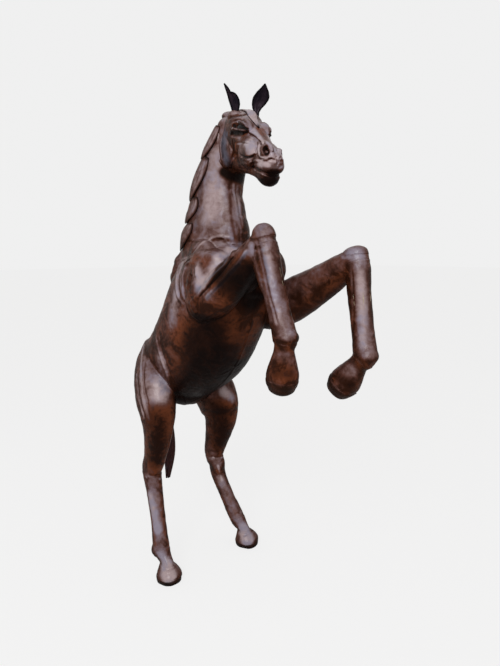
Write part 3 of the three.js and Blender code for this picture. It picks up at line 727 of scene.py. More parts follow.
middles = read(body_skin.polygons, "center")
labels = nearest_form(middles)
neck_side = (middles - np.array(metres(BREAST))) @ np.array(Vector(BREAST_WAY).normalized()) > 0
torso = np.isin(labels, (hides.index("body_hide"), hides.index("neck_hide")))
labels[torso] = np.where(neck_side[torso], hides.index("neck_hide"), hides.index("body_hide"))
for side in ("right", "left"):
    for end, joints in (("hind", HIND[side]), ("fore", FORE[side])):
        top, toe = metres(joints["fetlock"]), metres(joints["toe"])
        share = (middles - np.array(top)) @ np.array(toe - top) / (toe - top).length_squared
        mine = labels == hides.index(f"{side}_{end}_hoof_hide")
        hides.append(f"{side}_{end}_sole")
        sole = middles[:, 2] < SOLE_BAND if end == "hind" else share > SOLE_START
        labels[mine & sole] = len(hides) - 1
left = middles[:, 1] > SHIFT.y
for name in ("body_hide", "neck_hide"):
    mine = labels == hides.index(name)
    hides.append(name + "_left")
    labels[mine & left] = len(hides) - 1
hides = [n + "_right" if n in ("body_hide", "neck_hide") else n for n in hides]
split(body_skin, labels)


# Leather, glass, wood and steel
class Wire:
    """A shader value that takes Python's own operators."""

    def __init__(self, owner, socket):
        self.owner, self.socket = owner, socket

    def maths(self, operation, a, b):
        return self.owner.node("ShaderNodeMath", {"operation": operation}, {0: a, 1: b})

    def __add__(self, other):
        return self.maths("ADD", self, other)

    def __sub__(self, other):
        return self.maths("SUBTRACT", self, other)

    def __rsub__(self, other):
        return self.maths("SUBTRACT", other, self)

    def __mul__(self, other):
        return self.maths("MULTIPLY", self, other)

    __radd__, __rmul__ = __add__, __mul__


class Shading:
    """The nodes of a material or of the world."""

    def __init__(self, owner):
        owner.use_nodes = True
        self.nodes, self.links = owner.node_tree.nodes, owner.node_tree.links

    def node(self, kind, settings, inputs, output=0):
        made = self.nodes.new(kind)
        for name, value in settings.items():
            setattr(made, name, value)
        for name, value in inputs.items():
            if isinstance(value, Wire):
                self.links.new(value.socket, made.inputs[name])
            else:
                made.inputs[name].default_value = value
        return Wire(self, made.outputs[output])

    def ray(self, kind):
        return self.node("ShaderNodeLightPath", {}, {}, f"Is {kind} Ray")

    def shows(self, output, share, first, second):
        """Makes the output show two mixed shaders."""
        inputs = {0: share, 1: Wire(self, self.nodes[first].outputs[0]), 2: second}
        mixed = self.node("ShaderNodeMixShader", {}, inputs)
        self.links.new(mixed.socket, self.nodes[output].inputs["Surface"])


class Finish(Shading):
    """A material and the nodes of its pattern."""

    def __init__(self, name, **constants):
        self.material = bpy.data.materials.new(name)
        super().__init__(self.material)
        self.shader = self.nodes["Principled BSDF"]
        for name, value in constants.items():
            self.shader.inputs[name.replace("_", " ")].default_value = value
        self.object = self.node("ShaderNodeTexCoord", {}, {}, "Object")

    def noise(self, scale, detail=4.0, roughness=0.55, distortion=0.0):
        return self.node("ShaderNodeTexNoise", {}, {
            "Vector": self.object, "Scale": scale, "Detail": detail,
            "Roughness": roughness, "Distortion": distortion,
        }, "Fac")

    def cells(self, scale):
        inputs = {"Vector": self.object, "Scale": scale}
        return self.node("ShaderNodeTexVoronoi", {"feature": "DISTANCE_TO_EDGE"}, inputs, "Distance")

    def between(self, value, low, high):
        """0 below low, 1 above high."""
        return self.node("ShaderNodeMapRange", {"interpolation_type": "SMOOTHSTEP"}, {
            "Value": value, "From Min": low, "From Max": high,
        }, "Result")

    def mixed(self, share, a, b):
        return self.node("ShaderNodeMix", {"data_type": "RGBA"}, {0: share, 6: a, 7: b}, 2)

    def attribute(self, name):
        return self.node("ShaderNodeAttribute", {"attribute_name": name}, {}, "Fac")

    def bump(self, height, strength, distance):
        inputs = {"Height": height, "Strength": strength, "Distance": distance}
        return self.node("ShaderNodeBump", {}, inputs, "Normal")

    def set(self, **values):
        for name, value in values.items():
            self.links.new(value.socket, self.shader.inputs[name.replace("_", " ")])


def leather(name, deep, warm, hot, half_lit_rose, highlight_pale, highlight_cool, sheen_slate, black):
    """Old glossy leather: hot where red with wear, with painted highlight of rose, pale and cool tone and a
    painted cool slate sheen where light falls, and painted shade of black in the hollows.
    """
    finish = Finish(
        name, IOR=1.5, Coat_Roughness=0.2, Specular_IOR_Level=0.05, Specular_Tint=(0.8, 0.5, 0.42, 1),
    )
    cloud, mottle, fleck = finish.noise(7, 3), finish.noise(24, 6, 0.62, 0.8), finish.noise(95, 5, 0.65)
    # The attributes painted on the skin: painted highlight, the red colour of the leather, painted shade and
    # painted cool sheen
    bloom, ember, shade, chill = (finish.attribute(a) for a in ("bloom", "ember", "shade", "chill"))
    patch = (mottle - 0.5) * 1.4 + (fleck - 0.5) * 0.5
    color = finish.mixed(finish.between(mottle, 0.4, 0.66), deep, warm)
    heat = finish.between(ember + patch * 1.3 + (cloud - 0.5) * 0.8, 0.35, 1.05)
    color = finish.mixed(heat, color, hot)
    # How lit a place is by the painted highlight, less under painted shade: half lit is painted rose, fully lit
    # painted pale or cool
    lit_level = bloom + patch * 0.6 - shade * 0.6
    color = finish.mixed(finish.between(lit_level, 0.05, 0.6) * 0.85, color, half_lit_rose)
    highlight_tint = finish.mixed(finish.between(cloud + (mottle - 0.5) * 0.6, 0.4, 0.62), highlight_pale, highlight_cool)
    color = finish.mixed(finish.between(lit_level, 0.35, 1.1), color, highlight_tint)
    # Painted cool slate sheen
    color = finish.mixed(finish.between(chill + patch * 1.1, 0.15, 1.1) * 0.85, color, sheen_slate)
    # Painted shade: black in hollows, creases and undersides, broken by random dark mottle
    dark = finish.between(shade + patch * 0.85, 0.25, 1.0)
    color = finish.mixed(dark * 0.94, color, black)
    pores = finish.node("ShaderNodeMath", {"operation": "MINIMUM"}, {0: finish.cells(420), 1: 0.12})
    creases = finish.noise(60, 6, 0.7, 1.5)
    finish.set(
        Base_Color=color,
        Roughness=0.33 + (fleck - 0.5) * 0.3,
        Coat_Weight=finish.between(bloom + patch * 0.8 - shade * 1.2, 0.25, 1.0) * 0.6,
        Normal=finish.bump(creases * 0.8 + mottle * 1.2 + pores * 1.5, 0.6, 0.0018),
    )
    return finish.material


# Each leather: own colours deep, warm and hot; painted highlight colours rose, pale and cool; painted cool
# sheen slate; painted shade black
brown_hide = leather(
    "brown_hide", deep=(0.026, 0.008, 0.0038, 1), warm=(0.07, 0.02, 0.009, 1), hot=(0.2, 0.055, 0.022, 1),
    half_lit_rose=(0.125, 0.056, 0.046, 1), highlight_pale=(0.44, 0.335, 0.34, 1), highlight_cool=(0.3, 0.258, 0.322, 1),
    sheen_slate=(0.1, 0.105, 0.145, 1), black=(0.003, 0.002, 0.002, 1),
)
dark_hide = leather(
    "dark_hide", deep=(0.011, 0.009, 0.014, 1), warm=(0.026, 0.018, 0.026, 1), hot=(0.06, 0.022, 0.018, 1),
    half_lit_rose=(0.03, 0.02, 0.028, 1), highlight_pale=(0.17, 0.15, 0.19, 1), highlight_cool=(0.11, 0.11, 0.17, 1),
    sheen_slate=(0.06, 0.06, 0.09, 1), black=(0.003, 0.003, 0.004, 1),
)
sole_leather = leather(
    "sole_leather", deep=(0.018, 0.007, 0.004, 1), warm=(0.04, 0.014, 0.008, 1), hot=(0.09, 0.03, 0.016, 1),
    half_lit_rose=(0.045, 0.02, 0.016, 1), highlight_pale=(0.075, 0.052, 0.054, 1), highlight_cool=(0.06, 0.05, 0.06, 1),
    sheen_slate=(0.06, 0.06, 0.08, 1), black=(0.003, 0.002, 0.002, 1),
)


def grained(name, light, dark, scale, roughness):
    """Softwood, or the layers of papier-mache, whose bands run across the figure."""
    finish = Finish(name, IOR=1.45, Specular_IOR_Level=0.3)
    bands = finish.node("ShaderNodeTexWave", {"bands_direction": "Z"}, {
        "Vector": finish.object, "Scale": scale, "Distortion": 9.0, "Detail": 4.0, "Detail Scale": 1.6,
    }, "Fac")
    fibre = finish.noise(180, 5, 0.7)
    color = finish.mixed(finish.between(bands * 0.8 + fibre * 0.4, 0.2, 1.0), light, dark)
    finish.set(
        Base_Color=color, Roughness=roughness + (fibre - 0.5) * 0.2,
        Normal=finish.bump(fibre + bands * 0.5, 0.5, 0.0008),
    )
    return finish.material


softwood = grained("softwood", (0.5, 0.3, 0.14, 1), (0.32, 0.16, 0.065, 1), 14, 0.6)
papier_mache = grained("papier_mache", (0.5, 0.43, 0.31, 1), (0.38, 0.31, 0.21, 1), 30, 0.8)


def rolled_steel():
    finish = Finish("steel", Metallic=1.0)
    scratches, rust = finish.noise(300, 3, 0.6), finish.noise(40, 6, 0.7)
    spots = finish.between(rust, 0.56, 0.68)
    finish.set(
        Base_Color=finish.mixed(spots, (0.3, 0.31, 0.33, 1), (0.13, 0.06, 0.03, 1)),
        Roughness=0.32 + scratches * 0.2 + spots * 0.3,
        Normal=finish.bump(scratches, 0.25, 0.0004),
    )
    return finish.material


def eye_glass():
    """Black glass, clouded with deep brown."""
    finish = Finish("eye_glass", IOR=1.5, Specular_IOR_Level=0.03)
    ring = finish.noise(70, 4, 0.6)
    black, brown = (0.003, 0.002, 0.002, 1), (0.008, 0.004, 0.003, 1)
    finish.set(
        Base_Color=finish.mixed(finish.between(ring, 0.4, 0.7), black, brown),
        Roughness=0.04 + ring * 0.05,
    )
    return finish.material


steel, glass = rolled_steel(), eye_glass()
# Materials of the nodes that keep their CAD mesh, by the ends of their names
KEPT = {
    ("_rod",): steel,
    ("eye_left", "eye_right"): glass,
    ("body_core", "hind_upper_core", "hind_lower_core"): softwood,
    ("neck_core", "fore_upper_core", "fore_lower_core", "head_core", "jaw_core"): papier_mache,
}
for node in NODES:
    for ends, material in KEPT.items():
        if node.endswith(ends):
            for kept in bpy.data.objects[node].material_slots:
                kept.material = material

# Colour of the hide, painted on the skin: painted highlights towards the light, and weaker painted highlights
# towards the far side and the back
LIGHT_SIDE = Vector((0.62, -0.62, 0.48)).normalized()
FAR_LIGHT, BACK_LIGHT = Vector((0.15, 0.85, 0.45)).normalized(), Vector((-0.8, -0.1, 0.6)).normalized()
# How much of each, how warm the hide is all over, and the most that a tone comes to
LIT, FAR_LIT_SHARE, WARMTH, MOST = {"body": 0.62, "head": 0.72}, 0.45, 0.42, 1.3
# How dark the painted shade is on the undersides, and on the hooves up to a height above the floor
UNDERSIDE, NEAR_FLOOR, FLOOR_REACH = 0.5, 0.8, 0.03
# The strokes of painted highlight, painted shade, painted cool sheen and red colour on each skin, and how much
# of a stroke its repeat on the far side keeps
FAR_PAINT = {"body": 0, "trunk": 0.7, "head": 0.7}
PAINTED = {"body": ("body", "trunk"), "head": ("head",)}


def smooth(low, high, value):
    share = np.clip((value - low) / (high - low), 0, 1)
    return share * share * (3 - 2 * share)


def painted(mesh, skin):
    at, out = places(mesh), normals(mesh)
    # Painted highlight towards the light, and weaker painted highlight towards the far side and the back
    far_lit = smooth(0.35, 1, out @ np.array(FAR_LIGHT)) + smooth(0.45, 1, out @ np.array(BACK_LIGHT))
    tone = {
        "bloom": LIT[skin] * smooth(0.3, 1, out @ np.array(LIGHT_SIDE)) + FAR_LIT_SHARE * far_lit,
        "ember": np.full(len(at), WARMTH),
        # Painted shade on the undersides, and a painted contact shade on the hooves near the floor
        "shade": UNDERSIDE * smooth(0.1, -0.8, out[:, 2]) + NEAR_FLOOR * smooth(FLOOR_REACH, 0, at[:, 2]),
        "chill": np.zeros(len(at)),
    }
    for part in PAINTED[skin]:
        for name, strokes in LIGHT_AND_COLOUR_STROKES[part].items():
            for width, amount, spots in strokes:
                line = traced(spots, skin)
                if line:
                    tone[name] += amount * worked_sides(at, line, width, skin, FAR_PAINT[part], taper=False)
    for name, values in tone.items():
        layer = mesh.attributes.new(name, "FLOAT", "POINT")
        layer.data.foreach_set("value", np.clip(values, 0, MOST).astype(np.float32))


# Strokes of painted highlight, painted shade, painted cool sheen and red colour: what they add to, then half
# width in millimetres, how much, and pixels of the photograph
LIGHT_AND_COLOUR_STROKES = {
    "trunk": {
        "shade": [
            (150, 1.0, [(200, 345), (212, 370), (200, 392)]), (80, 0.8, [(232, 372), (222, 386)]),
            (75, 0.45, [(195, 308), (215, 325)]), (60, 0.35, [(232, 318), (250, 345)]),
            (60, 1.0, [(182, 398), (196, 408)]), (9, 0.4, [(229, 184), (230.5, 200), (232, 222), (235, 238)]),
            (26, 1.2, [(224, 172), (232, 177), (241, 178)]),
            (16, 0.35, [(192, 170), (190, 195), (188, 220), (184, 245)]),
            (16, 0.5, [(190, 274), (187.5, 292)]), (5, 0.5, SHOULDER_HOLLOW),
        ],
        "bloom": [
            (12, 0.15, [(178, 272), (176.5, 285), (178.5, 297)]),
            (12, 0.2, [(184.5, 269), (182.5, 279), (182.5, 290), (185, 299), (190, 304)]),
            (60, 0.3, [(184, 262), (178, 285)]), (40, 0.35, [(175, 298), (172, 322)]),
            (40, -0.2, [(197, 263), (208, 262), (220, 260)]),
            (60, 0.35, [(213, 160), (212, 190), (208, 215)]), (18, 0.35, [(238, 185), (239, 215)]),
            (10, 0.2, [(155, 324), (156, 336), (160, 354), (167, 374), (178, 396)]),
        ],
        "ember": [
            (50, 0.4, [(194, 262), (206, 262), (218, 260)]), (100, 0.45, [(178, 325), (196, 345)]),
            (90, 0.4, [(228, 325), (250, 345)]),
        ],
        "chill": [
            (26, 0.45, [(203, 172), (199, 200), (195, 228)]), (22, 0.35, [(211, 254), (226, 250)]),
        ],
    },
    "body": {
        "shade": [
            (80, 0.9, [(222, 278), (245, 275), (252, 300)]), (90, 0.85, [(158, 418), (155, 458)]),
            (90, 0.8, [(221, 410), (223, 440)]), (5, 0.2, BREAST_CREASE), (36, 0.6, [(275, 372), (290, 374)]),
            (30, 0.6, [(338, 378), (350, 384)]), (4, 0.8, FOREARM_CREASE),
        ],
        "bloom": [
            (7, 0.3, FOREARM_WELT), (8, 0.3, BREAST_ARC), (50, -0.5, [(160, 420), (156, 450)]),
            (46, -0.5, [(224, 412), (223, 440)]), (46, -0.4, [(281, 366), (283, 380)]),
            (30, 0.5, [(197, 266), (198, 279)]), (34, 0.65, [(200, 288), (212, 272), (232, 250)]),
            (22, 0.4, [(221, 254), (216, 257)]), (32, 0.06, [(256, 226), (263, 228)]),
            (20, 0.3, [(268, 258), (272, 290), (277, 320)]), (30, 0.4, [(346, 253), (358, 256)]),
            (24, 0.35, [(361, 275), (362, 310), (361, 345)]), (60, 0.5, [(160, 360), (162, 395)]),
            (13, 0.45, [(139, 350), (136.5, 375), (140, 402), (144, 418)]),
            (11, 0.45, [(144, 345), (141, 375), (144.5, 402), (149, 420)]),
            (30, 0.5, [(224, 392), (234, 400)]), (26, 0.6, [(149, 495), (157, 530)]),
            (40, 0.9, [(167, 566), (170, 578)]), (40, 0.9, [(244, 530), (248, 540)]),
            (14, 0.3, [(237, 484), (241, 512)]), (7, 0.6, [(146, 477), (160, 479)]),
            (5, 0.7, [(213, 457.5), (222, 457.5)]), (8, 0.6, [(218, 466), (222, 480)]),
            (26, 0.35, [(152, 540), (160, 556)]), (14, 0.25, FOREARM_EDGE),
            (20, 0.5, [(251, 246), (256, 268), (264, 295), (270, 320)]),
        ],
        "ember": [
            (9, 0.2, [(203, 296), (222, 277), (242, 251)]), (50, 0.15, [(215, 290), (232, 275), (240, 262)]),
            (80, 0.75, [(160, 415), (158, 462)]), (14, 0.7, [(158, 500), (163, 535)]),
            (12, 0.5, [(152, 520), (156, 545)]), (16, 0.7, [(218, 470), (232, 505), (240, 520)]),
            (80, 0.5, [(226, 405), (226, 440)]), (34, 0.2, [(275, 372), (292, 376)]),
        ],
        "chill": [
            (12, 0.5, [(146, 490), (161, 491)]), (16, 0.7, [(197, 291), (211, 276), (226, 260), (241, 243)]),
            (12, 0.6, FOREARM_EDGE), (20, 0.5, [(253, 229), (262, 229)]),
            (13, 0.5, [(260, 240), (265, 262), (270, 288)]), (16, 0.4, [(345, 252), (358, 253)]),
            (30, 0.4, [(158, 365), (163, 388)]),
        ],
    },
    "head": {
        "shade": [
            (11, 1.5, [(230.5, 132.6), (236, 133.4), (242, 132.8)]), (7, 0.9, [(243, 133.5), (246.5, 132.8)]),
            (8, 1.6, [(234, 126), (239, 127), (244, 128), (247.5, 129.4)]),
            (13, 2.8, [(264.3, 148.8), (265.5, 152)]), (24, 1.0, [(258, 180), (266, 182), (275, 176)]),
            (6, 1.4, MOUTH), (4.5, 0.9, TEAR_LINE), (9, 0.8, [(243, 157), (249, 157.6), (254, 155.5)]),
            (5, 0.7, [(257.2, 145), (256.6, 150), (258, 155.5)]), (14, 0.7, [(236, 158), (240, 163)]),
            (24, 0.9, [(222, 167), (228, 172), (238, 174)]), (6, 0.9, [(236, 172), (243, 173.6), (250, 175)]),
            (12, 0.55, [(222.5, 142), (222.5, 156)]), (5, 0.8, JOWL_CREASE),
            (12, 0.4, [(224, 124), (226, 132)]),
        ],
        "bloom": [
            (3.5, 1.2, [(233.5, 124.8), (236.5, 122.8), (240, 122), (243.6, 123.6), (246.4, 126.6)]),
            (20, 0.7, [(258, 165), (267, 168), (277, 168)]), (14, 0.4, [(250, 160), (238, 166)]),
            (4.5, 1.0, [(232, 128.4), (236.5, 129.6), (241, 130.4), (246, 130.8)]), (7, 0.7, NOSTRIL_TOP),
            (7, 0.7, NOSTRIL_FOOT), (8, 0.5, LIP_RIDGE), (4, 0.5, JOWL_WELT),
            (5, 0.4, [(254, 170), (258, 172.6), (263, 175)]), (12, 0.3, NOSE_BONE),
            (15, -0.6, [(230, 119), (240, 116), (246, 114)]), (16, -0.3, [(258, 128), (266, 139)]),
            (34, 0.6, [(248, 142), (250, 150)]), (24, 0.5, [(239, 142), (241, 153)]),
            (26, 0.35, [(262, 163), (276, 163)]), (14, 0.3, [(253, 130), (262, 141)]),
            (12, 0.2, [(228.5, 142), (229.5, 156)]),
        ],
        "ember": [
            (8, 0.4, [(236, 138), (242, 135.5), (246, 133.5)]),
            (14, 0.9, [(258, 123), (267, 136), (274, 145)]), (8, 0.5, [(235.5, 144), (236, 160)]),
            (12, 0.35, [(245, 156), (254, 154)]), (10, 0.4, [(252, 121), (257, 128)]),
        ],
        "chill": [
            (42, 0.85, [(224, 135), (223.5, 147), (225.5, 159)]), (14, 0.8, [(224, 122), (227, 134)]),
            (10, 0.6, [(231, 119.5), (240, 117.5), (247, 118.5)]),
            (5, 1.0, [(236, 122), (240, 121.2), (244, 122.6)]), (12, 0.6, [(246, 112), (253, 118)]),
            (20, 0.4, [(262, 166), (276, 166)]),
        ],
    },
}
for mesh, skin in ((body_skin, "body"), (head_skin, "head")):
    painted(mesh, skin)


def piece(name, mesh, material, nodes, wall=None):
    """A piece of the figure, which stands for some nodes. A wall has a thickness and a side to lie on."""
    for p in mesh.polygons:
        p.use_smooth = True
    mesh.materials.append(material)
    made = new_object(name, mesh)
    if wall:
        modifier = made.modifiers.new("wall", "SOLIDIFY")
        modifier.thickness, modifier.offset = wall
    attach(made, "root")
    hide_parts(*nodes)


# Thickness of a panel, which lies inside the skin
PANEL_WALL = (0.0025, -1)
# Cores that a skin stands for as well, where it lies closer to the figure's middle than the core does
COVERED = {
    "right_hind_hoof_hide": "right_hind_lower_core", "left_hind_hoof_hide": "left_hind_lower_core",
    "right_hind_upper_hide": "right_hind_upper_core", "left_hind_upper_hide": "left_hind_upper_core",
    "neck_hide_right": "neck_core",
}
for k, name in enumerate(hides):
    bm = bmesh.new()
    bm.from_mesh(body_skin)
    bm.faces.ensure_lookup_table()
    bmesh.ops.delete(bm, geom=[bm.faces[i] for i in np.flatnonzero(labels != k)], context="FACES")
    material = sole_leather if "sole" in name else brown_hide
    nodes = (name, COVERED[name]) if name in COVERED else (name,)
    piece(name + "_skin", meshed(bm, name + "_skin"), material, nodes, PANEL_WALL)
HEAD_NODES = ("head_hide", "jaw_hide", "head_core", "jaw_core", "eyelid_right", "eyelid_left")
piece("head_skin", head_skin, brown_hide, HEAD_NODES)


# Ears, mane, forelock, tail and eyes. A leaf of leather has painted shade on its rim, from a share of its half
# width on.
RIM_START, RIM_SHADE = 0.7, 0.8


def toned(mesh, bloom, ember=0.3, shade=0.0):
    """Paints a separate piece as the skins are painted: painted highlight where it faces the light, and painted
    shade on its rim.
    """
    lit = smooth(0.2, 1.0, np.abs(normals(mesh) @ np.array(LIGHT_SIDE)))
    count = len(mesh.vertices)
    rim = np.zeros(count)
    if "rim" in mesh.attributes:
        mesh.attributes["rim"].data.foreach_get("value", rim)
    tone = {"bloom": lit * bloom, "ember": np.full(count, ember), "shade": shade + RIM_SHADE * rim}
    for name, values in tone.items():
        mesh.attributes.new(name, "FLOAT", "POINT").data.foreach_set("value", values.astype(np.float32))


def finished(bm, name, material, node, thickness=None, **tone):
    """Makes a piece of bm that stands for a node."""
    bmesh.ops.recalc_face_normals(bm, faces=bm.faces)
    mesh = meshed(bm, name)
    if tone:
        toned(mesh, **tone)
    piece(name, mesh, material, (node,), (thickness, 0) if thickness else None)


def leaf(rows, columns, place):
    """A sheet of leather: place(t, side) gives its points, t from 0 to 1 and side from -1 to 1."""
    bm = bmesh.new()
    bmesh.ops.create_grid(bm, x_segments=columns, y_segments=rows, size=1)
    # How near to the rim each point lies, which carries painted shade
    rim = bm.verts.layers.float.new("rim")
    for v in bm.verts:
        v[rim] = smooth(RIM_START, 1, max(abs(v.co.x), abs(v.co.y)))
        v.co = place((v.co.y + 1) / 2, v.co.x)
    return bm


# Outline of each ear in the photograph: row, left column, right column
EARS = {
    "ear_right": [
        (83.4, 223.9, 224.3), (85.5, 224.4, 226.4), (88, 225.2, 228.4), (90.6, 226.1, 230),
        (91.8, 226.5, 230.4), (92.4, 226.7, 233.4), (94, 227.2, 235.9), (96.5, 227.9, 237.7),
        (100, 228.7, 239.2), (104, 230, 239.7), (108, 231.2, 239), (112, 232.4, 238), (117, 233, 237.4),
    ],
    "ear_left": [
        (83.6, 264.9, 265.3), (86, 262.7, 266.3), (88, 261, 267), (92, 257, 268.6), (97, 253.4, 269.2),
        (100, 252.5, 268.3), (104, 252, 265.4), (108, 252.5, 261.5), (112, 254, 259), (117, 254.8, 258.6),
    ],
}
EAR_FACE = HEAD_TURN @ Vector((0.9, -0.42, 0.12)).normalized()
# How deep an ear of full width in pixels is cupped, how far its root curls, and the height of its ribs
EAR_WIDTH, EAR_CUP, EAR_CURL, EAR_RIBS = 17, 0.014, 0.003, 0.0008
EAR_LEATHER, MANE_LEATHER, FORELOCK_LEATHER = 0.0035, 0.003, 0.002

for node, outline in EARS.items():
    middle, start = centre_of(node), metres(CAMERA_PLACE)
    row, left_end, right_end = np.array(outline).T

    def place(t, side):
        y = row[0] + (row[-1] - row[0]) * t
        a, b = np.interp(y, row, left_end), np.interp(y, row, right_end)
        way = sight((a + b) / 2 + side * (b - a) / 2, y)
        reach = (middle - start).dot(EAR_FACE) / way.dot(EAR_FACE)
        cup = EAR_CUP * (b - a) / EAR_WIDTH * (1 - side * side) - EAR_CURL * math.sin(7 * t) * t
        ribs = EAR_RIBS * math.cos(9 * side) * (1 - side * side)
        return start + way * reach - EAR_FACE * (cup + ribs)

    # Painted highlight where the ear faces the light
    finished(leaf(56, 20, place), node + "_leather", dark_hide, node, EAR_LEATHER, bloom=0.5, shade=0.15)

# Locks of the mane: where each starts up the neck, its length, the side of the crest that it falls on (-1 is
# the right), its width
LOCKS = [
    (4.98, 1.14, -1, 30), (4.45, 1.2, 1, 34), (3.98, 1.4, -1, 32), (3.2, 1.2, 1, 34), (2.7, 1.15, -1, 32),
    (1.5, 0.9, -1, 24),
]
# How far from the neck's middle line its hide is looked for, in metres, and where it is taken to lie if missed
CREST_REACH, CREST_GUESS = 0.16, 0.1
# A lock lies some degrees off the crest at its root, and turns back towards it. In millimetres, it lies off the
# hide, bulges across, lifts at its tip and is grooved.
LOCK_ANGLE, LOCK_TURN, LOCK_LIE, LOCK_BULGE, LOCK_LIFT = 66, 18, 1, 5, 4.5
LOCK_GROOVES, LOCK_GROOVE_DEPTH = 15, 0.9
neck_line = along(NECK, ROW_RINGS)
neck_ways = unit(np.gradient(neck_line[:, :3], axis=0))


def on_crest(u, angle):
    """The place on the hide of the neck that lies this way from its middle line, and the way out there."""
    index = np.clip(u * ROW_RINGS, 0, len(neck_line) - 1)
    steps = range(len(neck_line))
    middle = Vector([np.interp(index, steps, neck_line[:, k]) for k in range(3)])
    ahead = Vector([np.interp(index, steps, neck_ways[:, k]) for k in range(3)])
    side = (Vector((0, 1, 0)) - ahead * ahead.y).normalized()
    way = side * math.cos(angle) + ahead.cross(side) * math.sin(angle)
    found = [t.ray_cast(metres(middle), way, CREST_REACH) for t in tree.values()]
    reach = max((hit[3] for hit in found if hit[0] is not None), default=CREST_GUESS)
    return metres(middle) + way * reach, way


for n, (start, length, fall, spread) in enumerate(LOCKS):
    def place(t, side):
        width = max(0.05, math.sin(math.pi * min(1, 0.12 + 0.88 * t))**0.7)
        angle = 90 - fall * (LOCK_ANGLE - LOCK_TURN * t) + spread * side * width
        spot, way = on_crest(max(0.02, start - length * t), math.radians(angle))
        strands = LOCK_GROOVE_DEPTH * math.cos(side * LOCK_GROOVES + 3 * math.sin(4 * t + n))
        bulge = LOCK_BULGE * (1 - side * side)**0.7 + strands
        lift = LOCK_LIE + LOCK_LIFT * smooth(0.2, 0.9, t) + bulge * width
        return spot + way * (lift * MM)

    # Locks that fall on the right side, towards the light, get more painted highlight
    finished(
        leaf(34, 24, place), f"mane_lock_{n + 1}_leather", brown_hide, f"mane_lock_{n + 1}",
        MANE_LEATHER, bloom=0.8 if fall < 0 else 0.35, ember=0.45,
    )


# The forelock is laid on the head's skin from above. In the head's own frame: root, length, half width, sway
# and the height it is laid from, then how high it lies off the skin, its bulge and its grooves.
FORELOCK_ROOT, FORELOCK_LENGTH, FORELOCK_HALF, FORELOCK_SWAY, ABOVE_HEAD = 12, 218, 15, 3, 120
FORELOCK_LIE, FORELOCK_BULGE, FORELOCK_GROOVES, FORELOCK_GROOVE_DEPTH = 1.2, 1.6, 17, 1.1


def place(t, side):
    width = FORELOCK_HALF * max(0.08, min(1, 1.7 * (1 - t)**0.6))
    x, y = FORELOCK_ROOT + FORELOCK_LENGTH * t, side * width + FORELOCK_SWAY * math.sin(5 * t)
    hit = tree["head"].ray_cast(out_of_head((x, y, ABOVE_HEAD)), HEAD_TURN @ Vector((0, 0, -1)))[0]
    strands = FORELOCK_GROOVE_DEPTH * math.cos(side * FORELOCK_GROOVES + 2 * math.sin(5 * t))
    lift = FORELOCK_LIE + FORELOCK_BULGE * (1 - side * side) + strands
    return hit + HEAD_TURN @ Vector((0, 0, lift * MM))


# The forelock carries a strong painted highlight
finished(
    leaf(44, 22, place), "forelock_leather", brown_hide, "forelock", FORELOCK_LEATHER, bloom=1.25, ember=0.0,
)

# The tail's root, and its middle line from there: x, y, z, share of its full width and of its full depth
DOCK = (-352, 0, 735)
TAIL = [
    (0, 0, 0, 0.55, 1.2), (-40, 10, -35, 0.7, 1.2), (-33, 30, -115, 0.95, 1.1), (12, 36, -235, 1, 1),
    (44, 32, -355, 0.8, 0.8), (56, 14, -465, 0.3, 0.5),
]
# Its strands stand in an oval, each a flat strip, and turn round it a little from row to row. Two of three end
# sooner than the rest.
STRANDS, STRAND_TURN, STRAND_LAG = 11, 0.35, 0.1
OVAL_DEPTH, OVAL_WIDTH, STRAND_WIDTH, STRAND_DEPTH = 7.7, 24, 13, 5.5
tail = bmesh.new()
for k in range(STRANDS):
    rows = []
    for i, (x, y, z, wide, deep) in enumerate(TAIL):
        turn = 2 * math.pi * k / STRANDS + STRAND_TURN * i
        end = 1 - (STRAND_LAG * (k % 3) if i == len(TAIL) - 1 else 0)
        spot = Vector((x + OVAL_DEPTH * deep * math.sin(turn), y + OVAL_WIDTH * wide * math.cos(turn), z * end))
        rows.append((*(Vector(DOCK) + spot), STRAND_WIDTH * wide, STRAND_DEPTH * deep, STRAND_DEPTH * deep))
    loft(tail, rows, sides=14, dome=0.9)
# The tail carries a little painted highlight where it faces the light
finished(tail, "tail_strands", dark_hide, "tail", bloom=0.35, ember=0.9)


# Dark glass eyes, longer than high, that fill the gap between the lids. Pixels show both ends of the right one.
EYE_CORNERS = [(246.4, 128.8), (235, 126.2)]
EYE_SINK, EYE_HALF_HEIGHT, EYE_HALF_DEPTH = 0.0085, 0.0115, 0.0095
EYE_ENDS = traced(EYE_CORNERS, "head")

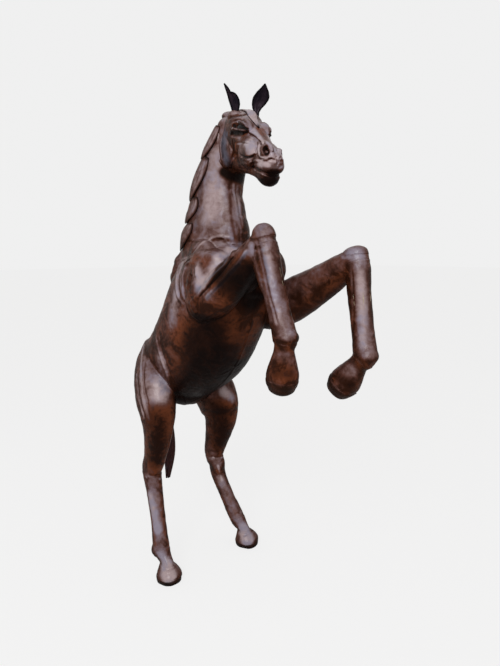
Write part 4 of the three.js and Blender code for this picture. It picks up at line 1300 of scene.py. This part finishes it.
for node, (inner, outer) in (("eye_right", EYE_ENDS), ("eye_left", far_side(EYE_ENDS, "head"))):
    middle, half = (inner + outer) / 2, (inner - outer).length / 2
    out = tree["head"].find_nearest(middle)[1]
    ahead = (inner - outer).normalized()
    up = out.cross(ahead).normalized()
    bm = bmesh.new()
    bmesh.ops.create_uvsphere(bm, u_segments=40, v_segments=28, radius=1)
    for v in bm.verts:
        x, y, z = v.co
        v.co = middle + ahead * x * half + up * y * EYE_HALF_HEIGHT + out * (z * EYE_HALF_DEPTH - EYE_SINK)
    finished(bm, node + "_glass", glass, node)

# Light, floor and backdrop
SKY, SKY_STRENGTH, BACKDROP = (1.0, 0.98, 0.97, 1), 0.5, 0.87
LAMP_PLACE, LAMP_TARGET, LAMP_SIZE, LAMP_POWER = Vector((2.2, -2.6, 3.0)), Vector((0, 0, 0.95)), 2.4, 80
FLOOR_HALF, FLOOR_TONE, FLOOR_GLOW, FLOOR_SHOWN = 40.0, 0.8, 0.97, 0.8


def grey(tone):
    return (tone, tone, tone, 1)


scene = bpy.context.scene
scene.view_settings.view_transform = "Standard"
scene.world = bpy.data.worlds.new("world")
sky = Shading(scene.world)
sky.nodes["Background"].inputs["Color"].default_value = SKY
sky.nodes["Background"].inputs["Strength"].default_value = SKY_STRENGTH
backdrop = sky.node("ShaderNodeBackground", {}, {"Color": grey(BACKDROP)})
direct = sky.ray("Camera")
for kind in ("Glossy", "Transmission"):
    direct = direct.maths("MAXIMUM", direct, sky.ray(kind))
sky.shows("World Output", direct, "Background", backdrop)

light = bpy.data.lights.new("window", "AREA")
light.energy, light.size = LAMP_POWER, LAMP_SIZE
lamp = new_object("window", light)
lamp.location = LAMP_PLACE
lamp.rotation_mode = "QUATERNION"
lamp.rotation_quaternion = (LAMP_TARGET - LAMP_PLACE).to_track_quat("-Z", "Y")

# A plain floor, which shows as the backdrop does and keeps the figure's shadow
bm = bmesh.new()
bmesh.ops.create_grid(bm, x_segments=1, y_segments=1, size=FLOOR_HALF)
floor = new_object("floor", meshed(bm, "floor"))
finish = Finish("floor", Base_Color=grey(FLOOR_TONE), Roughness=0.9, Specular_IOR_Level=0.0)
glow = finish.node("ShaderNodeEmission", {}, {"Color": grey(FLOOR_GLOW)})
finish.shows("Material Output", finish.ray("Camera") * FLOOR_SHOWN, "Principled BSDF", glow)
floor.data.materials.append(finish.material)
